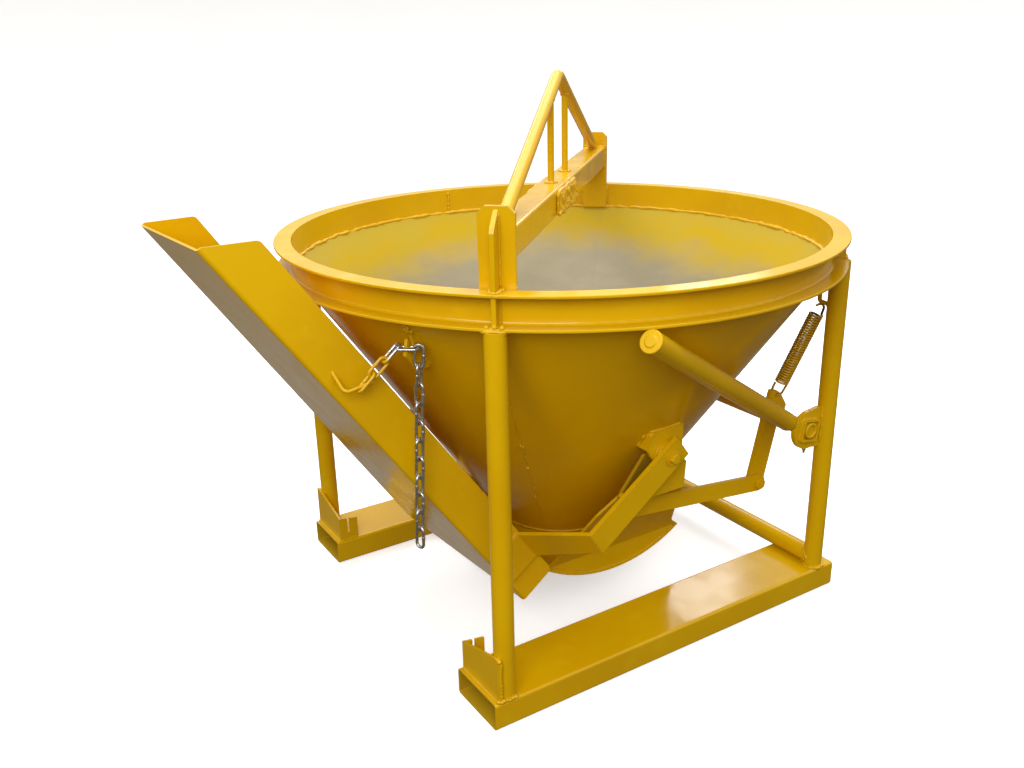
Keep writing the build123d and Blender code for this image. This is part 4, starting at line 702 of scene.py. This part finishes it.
# stiffener plates in the rim channel
w = Shape()
for k in range(4):
    deg = degrees(DIAG) + (180, -90, 0, 90)[k] + (0, 0.23, 0, 0.23)[k]
    for t in (-5.6, 5.6):
        d = deg + degrees(t / 690)
        bead(w, [polar(r, d, z) for r, z in ((714.0, 928.0), (700, 928.0), (690.5, 928.2), (684.5, 934), (684.2, 958), (684.5, 981), (690.5, 986.8), (700, 987.0), (714.0, 987.0))], 2.6, 250 + k + t, 4.4, False, 0.35)
w.done("weld_rim_stiffeners", paint_weld, "frame")

# ---------------------------------------------------------------- welds that move: lever, gate and chute
w = Shape()
for side in (-1, 1):
    for y in (363.6, 377.4):
        bead(w, ring(P(SHAFT_X, side * y, SHAFT_Z), SHAFT_R + 0.8, 36, (0, 1, 0)), 2.4 if y > 370 else 2.8, 260 + y + side, 4.2, True, 0.3)
h_from, h_to = P(432, -461, 479), P(-267, -692, 903)
h_dir = (h_to - h_from).normalized()
bead(w, ring(h_from + h_dir * 0.0250, 12.8, 30, h_dir), 3.4, 270, 4.6, True, 0.3)
bead(w, ring(h_from + h_dir * 0.0708, 13.2, 30, h_dir), 4.2, 271, 5.4, True, 0.4, 0.4)
w.done("weld_lever", paint_weld, "lever")

w = Shape()
seg_r = 399.0
for side in (-1, 1):
    for y in (250.8, 243.2):
        bead(w, [P(PIV_X + (seg_r - 0.6) * sin(radians(a)), side * y, PIV_Z - (seg_r - 0.6) * cos(radians(a))) for a in range(-31, 32, 2)], 3.0, 280 + y + side, 4.4, False, 0.28)
w.done("weld_gate", paint_weld, "gate")


def wall_point(side, along, up, out):
    """Point on the chute's side wall in metres: side -1 near, +1 far."""
    o = CH_NEAR * -side
    base = CH_ORG + o * 0.300
    ax = (CH_DIR - o * CH_TAPER).normalized()
    nz = (o + CH_DIR * CH_TAPER).normalized()
    return base + ax * along + CH_NRM * up + nz * out


w = Shape()
for side in (-1, 1):
    pad = [wall_point(side, a, u, 0.0006) for a, u in ((0.0692, 0.0112), (0.155, 0.0112), (0.155, 0.060), (0.155, 0.1006), (0.112, 0.1008), (0.0692, 0.1006), (0.0692, 0.055))]
    bead(w, pad, 3.0, 290 + side, 4.6, True, 0.28)
w.done("weld_chute", paint_weld, "chute")

# ---------------------------------------------------------------- return spring: a close-wound coil with a loop at each end
sp_top, sp_low = P(491.0, -457.0, 801.0), P(444.0, -370.5, 539.0)
sp_dir = (sp_low - sp_top).normalized()
sp_len = (sp_low - sp_top).length
BODY, WIRE, MEAN = 0.212, 0.0032, 0.0156
gap = (sp_len - BODY) / 2 - 0.0045
turns = 29
top_side = Vector((0.94, -0.34, 0))
top_side = (top_side - sp_dir * top_side.dot(sp_dir)).normalized()
cross = sp_dir.cross(top_side)
low_side = Vector((0.74, -0.67, 0))
low_side = (low_side - sp_dir * low_side.dot(sp_dir)).normalized()
total = turns * 2 * pi + atan2(low_side.dot(cross), low_side.dot(top_side))
path = []
# upper loop over the anchor rod
for k in range(15):
    a = radians(25 + 155 * k / 14)
    path.append(sp_top - top_side * MEAN * 0.86 * cos(a) + sp_dir * (0.0100 - MEAN * 0.86 * sin(a) + 0.004))
for k in range(1, 6):
    t = 0.0140 + (gap - 0.0140) * k / 5
    path.append(sp_top + top_side * MEAN * (0.86 + 0.14 * k / 5) + sp_dir * t)
count = turns * 22
for k in range(1, count):
    a = total * k / count
    path.append(sp_top + (top_side * cos(a) + cross * sin(a)) * MEAN + sp_dir * (gap + BODY * k / count))
# lower loop through the hole of the crank's plate
low_len = sp_len - gap - BODY
for k in range(0, 5):
    path.append(sp_top + low_side * MEAN * (1 - 0.10 * k / 4) + sp_dir * (gap + BODY + (low_len - MEAN * 0.9) * k / 4))
for k in range(1, 15):
    a = radians(180 * k / 14)
    path.append(sp_top + low_side * MEAN * 0.90 * cos(a) + sp_dir * (sp_len - MEAN * 0.9 + MEAN * 0.9 * sin(a)))
for k in range(1, 5):
    path.append(sp_top - low_side * MEAN * (0.90 + 0.04 * k / 4) + sp_dir * (sp_len - MEAN * 0.9 - (low_len - MEAN * 0.9 - 0.004) * k / 4))
spring = Shape()
line, _ = resample(path, 0.0021)
spring.tube(line, WIRE, 8)
coil = spring.done("return_spring_coil", spring_wire, None)
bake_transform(coil)
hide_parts("return_spring")

# ---------------------------------------------------------------- chain: the closing weld on each link
def link_weld(shape, mid, along, flat, seed):
    """Swelling at the middle of one straight side of a link."""
    c = mid + flat * (LINK_BEND / 1000) * (1 if seed % 2 else -1)
    pts = [c + along * t / 1000 for t in (-5.0, -3.6, -2.2, -0.8, 0.8, 2.2, 3.6, 5.0)]
    rad = [3.3, 3.75, 4.15, 4.35, 4.2, 4.3, 3.8, 3.3]
    shape.tube([tuple(p) for p in pts], [k / 1000 for k in rad], 12)


w = Shape()
run_side = RUN_DIR.cross(Vector((0, 0, 1))).normalized()
run_gap = ((RUN_TO - RUN_FROM).length - 0.0097 - 0.0122) / 2
for i in range(3):
    link_weld(w, RUN_FROM + RUN_DIR * (0.0097 + run_gap * i), RUN_DIR, run_side.cross(RUN_DIR) if i % 2 else run_side, i)
link_weld(w, HOOK_W, LIE, Vector((0.6, 0.8, 0)), 3)
w.done("chain_run_link_welds", chain_mixed, "chain_run")

w = Shape()
tail_dir = Vector((-0.040, 0.0255, -1)).normalized()
tail_flat = []
for turn in (-42, 35, -65, 22, -70, 20, -70, 20, -70, 20, -70):
    level = Vector((cos(radians(turn)), sin(radians(turn)), 0))
    tail_flat.append((level - tail_dir * level.dot(tail_dir)).normalized())
k2 = HOOK_W + LIE * (LINK_END + 0.5) / 1000
for i in range(11):
    link_weld(w, k2 - tail_dir * (LINK_R - LINK_IN / 2 + 1.6 - LINK_PITCH * i) / 1000, tail_dir, tail_flat[i], i + 1)
w.done("chain_tail_link_welds", chain_zinc, "chain_tail")

# ---------------------------------------------------------------- stage: a pale dish-shaped floor
verts, faces = [], []
profile = [(0.0, 0.0), (3.0, 0.0), (6.0, 0.0), (8.0, 0.0)] + [(8.0 + 3.0 * sin(radians(a)), 3.0 - 3.0 * cos(radians(a))) for a in range(10, 91, 10)] + [(11.0, 6.0)]
around = 72
verts.append((AX / 1000, 0, 0))
for r, z in profile[1:]:
    for k in range(around):
        verts.append((AX / 1000 + r * cos(2 * pi * k / around), r * sin(2 * pi * k / around), z))
for k in range(around):
    faces.append((0, 1 + k, 1 + (k + 1) % around))
for j in range(len(profile) - 2):
    for k in range(around):
        a, b = 1 + j * around + k, 1 + j * around + (k + 1) % around
        faces.append((a, a + around, b + around, b))
mesh = bpy.data.meshes.new("studio_floor")
mesh.from_pydata(verts, [], faces)
mesh.polygons.foreach_set("use_smooth", [True] * len(mesh.polygons))
mesh.materials.append(floor_material())
floor = bpy.data.objects.new("studio_floor", mesh)
scene.collection.objects.link(floor)
floor.visible_diffuse = False
floor.visible_glossy = False

# ---------------------------------------------------------------- light: white from above, grey from below, one large softbox
world = bpy.data.worlds.new("studio")
scene.world = world
world.use_nodes = True
tree = world.node_tree
tree.nodes.clear()
out = tree.nodes.new("ShaderNodeOutputWorld")
back = tree.nodes.new("ShaderNodeBackground")
tree.links.new(back.outputs[0], out.inputs[0])
geo = tree.nodes.new("ShaderNodeTexCoord")
sep = tree.nodes.new("ShaderNodeSeparateXYZ")
tree.links.new(geo.outputs["Generated"], sep.inputs[0])
cr = tree.nodes.new("ShaderNodeValToRGB")
mp = tree.nodes.new("ShaderNodeMapRange")
mp.inputs["From Min"].default_value = -1
mp.inputs["From Max"].default_value = 1
tree.links.new(sep.outputs[2], mp.inputs["Value"])
tree.links.new(mp.outputs[0], cr.inputs[0])
stops = [(0.0, (0.095, 0.074, 0.032)), (0.36, (0.165, 0.130, 0.070)), (0.485, (0.25, 0.200, 0.128)), (0.54, (0.54, 0.51, 0.465)), (0.70, (0.86, 0.86, 0.86)), (1.0, (1.0, 1.0, 1.0))]
cr.color_ramp.elements[0].position, cr.color_ramp.elements[0].color = stops[0][0], (*stops[0][1], 1)
cr.color_ramp.elements[1].position, cr.color_ramp.elements[1].color = stops[-1][0], (*stops[-1][1], 1)
for pos, c in stops[1:-1]:
    cr.color_ramp.elements.new(pos).color = (*c, 1)
# the ground behind the bucket is paler, and shows in the chute's underside
low = tree.nodes.new("ShaderNodeMapRange")
low.inputs["From Min"].default_value, low.inputs["From Max"].default_value = -0.05, -0.45
tree.links.new(sep.outputs[2], low.inputs["Value"])
far = tree.nodes.new("ShaderNodeMapRange")
far.inputs["From Min"].default_value, far.inputs["From Max"].default_value = 0.25, 0.75
tree.links.new(sep.outputs[1], far.inputs["Value"])
both = tree.nodes.new("ShaderNodeMath")
both.operation = "MULTIPLY"
tree.links.new(low.outputs[0], both.inputs[0])
tree.links.new(far.outputs[0], both.inputs[1])
beside = tree.nodes.new("ShaderNodeMapRange")
beside.inputs["From Min"].default_value, beside.inputs["From Max"].default_value = -0.38, -0.08
tree.links.new(sep.outputs[0], beside.inputs["Value"])
patch = tree.nodes.new("ShaderNodeMath")
patch.operation = "MULTIPLY"
tree.links.new(both.outputs[0], patch.inputs[0])
tree.links.new(beside.outputs[0], patch.inputs[1])
pale = tree.nodes.new("ShaderNodeMix")
pale.data_type = "RGBA"
pale.inputs[7].default_value = (0.41, 0.37, 0.305, 1)
tree.links.new(patch.outputs[0], pale.inputs[0])
tree.links.new(cr.outputs[0], pale.inputs[6])
tree.links.new(pale.outputs[2], back.inputs[0])
back.inputs[1].default_value = 0.93


def softbox(name, at, target, size, watts, colour=(1, 1, 1)):
    data = bpy.data.lights.new(name, "AREA")
    data.shape = "RECTANGLE"
    data.size, data.size_y = size
    data.energy = watts
    data.color = colour
    obj = bpy.data.objects.new(name, data)
    scene.collection.objects.link(obj)
    obj.location = at
    obj.rotation_mode = "QUATERNION"
    obj.rotation_quaternion = (Vector(target) - Vector(at)).to_track_quat("-Z", "Y")
    return obj


softbox("softbox_over", (0.4, 0.6, 4.4), (0.1, 0, 0.6), (4.5, 4.5), 172)
softbox("softbox_front", (-2.1, -2.4, 2.4), (0.0, 0, 0.7), (2.0, 1.6), 60)
softbox("softbox_strip", (2.75, 2.10, 2.50), (0.254, -0.46, 0.07), (0.55, 0.9), 8)
softbox("softbox_back", (1.6, 3.4, 3.1), (0.0, -0.2, 0.7), (2.4, 1.0), 26)

# ---------------------------------------------------------------- camera at the photograph's viewing angle
cam_data = bpy.data.cameras.new("camera")
cam = bpy.data.objects.new("camera", cam_data)
scene.collection.objects.link(cam)
cam_data.sensor_fit = "HORIZONTAL"
cam_data.sensor_width = 36.0
cam_data.lens = 34.31
cam_data.clip_start, cam_data.clip_end = 0.05, 60
right = Vector((0.84327769, -0.53708056, -0.02066881))
up = Vector((0.20123042, 0.2798292, 0.93872357))
ahead = Vector((0.49838644, 0.79576384, -0.34405067))
turn = Matrix((right, up, -ahead)).transposed().to_4x4()
turn.translation = Vector((-1.30766, -2.05910, 1.47662))
cam.matrix_world = turn
scene.camera = cam

scene.view_settings.view_transform = "Standard"
scene.view_settings.look = "None"
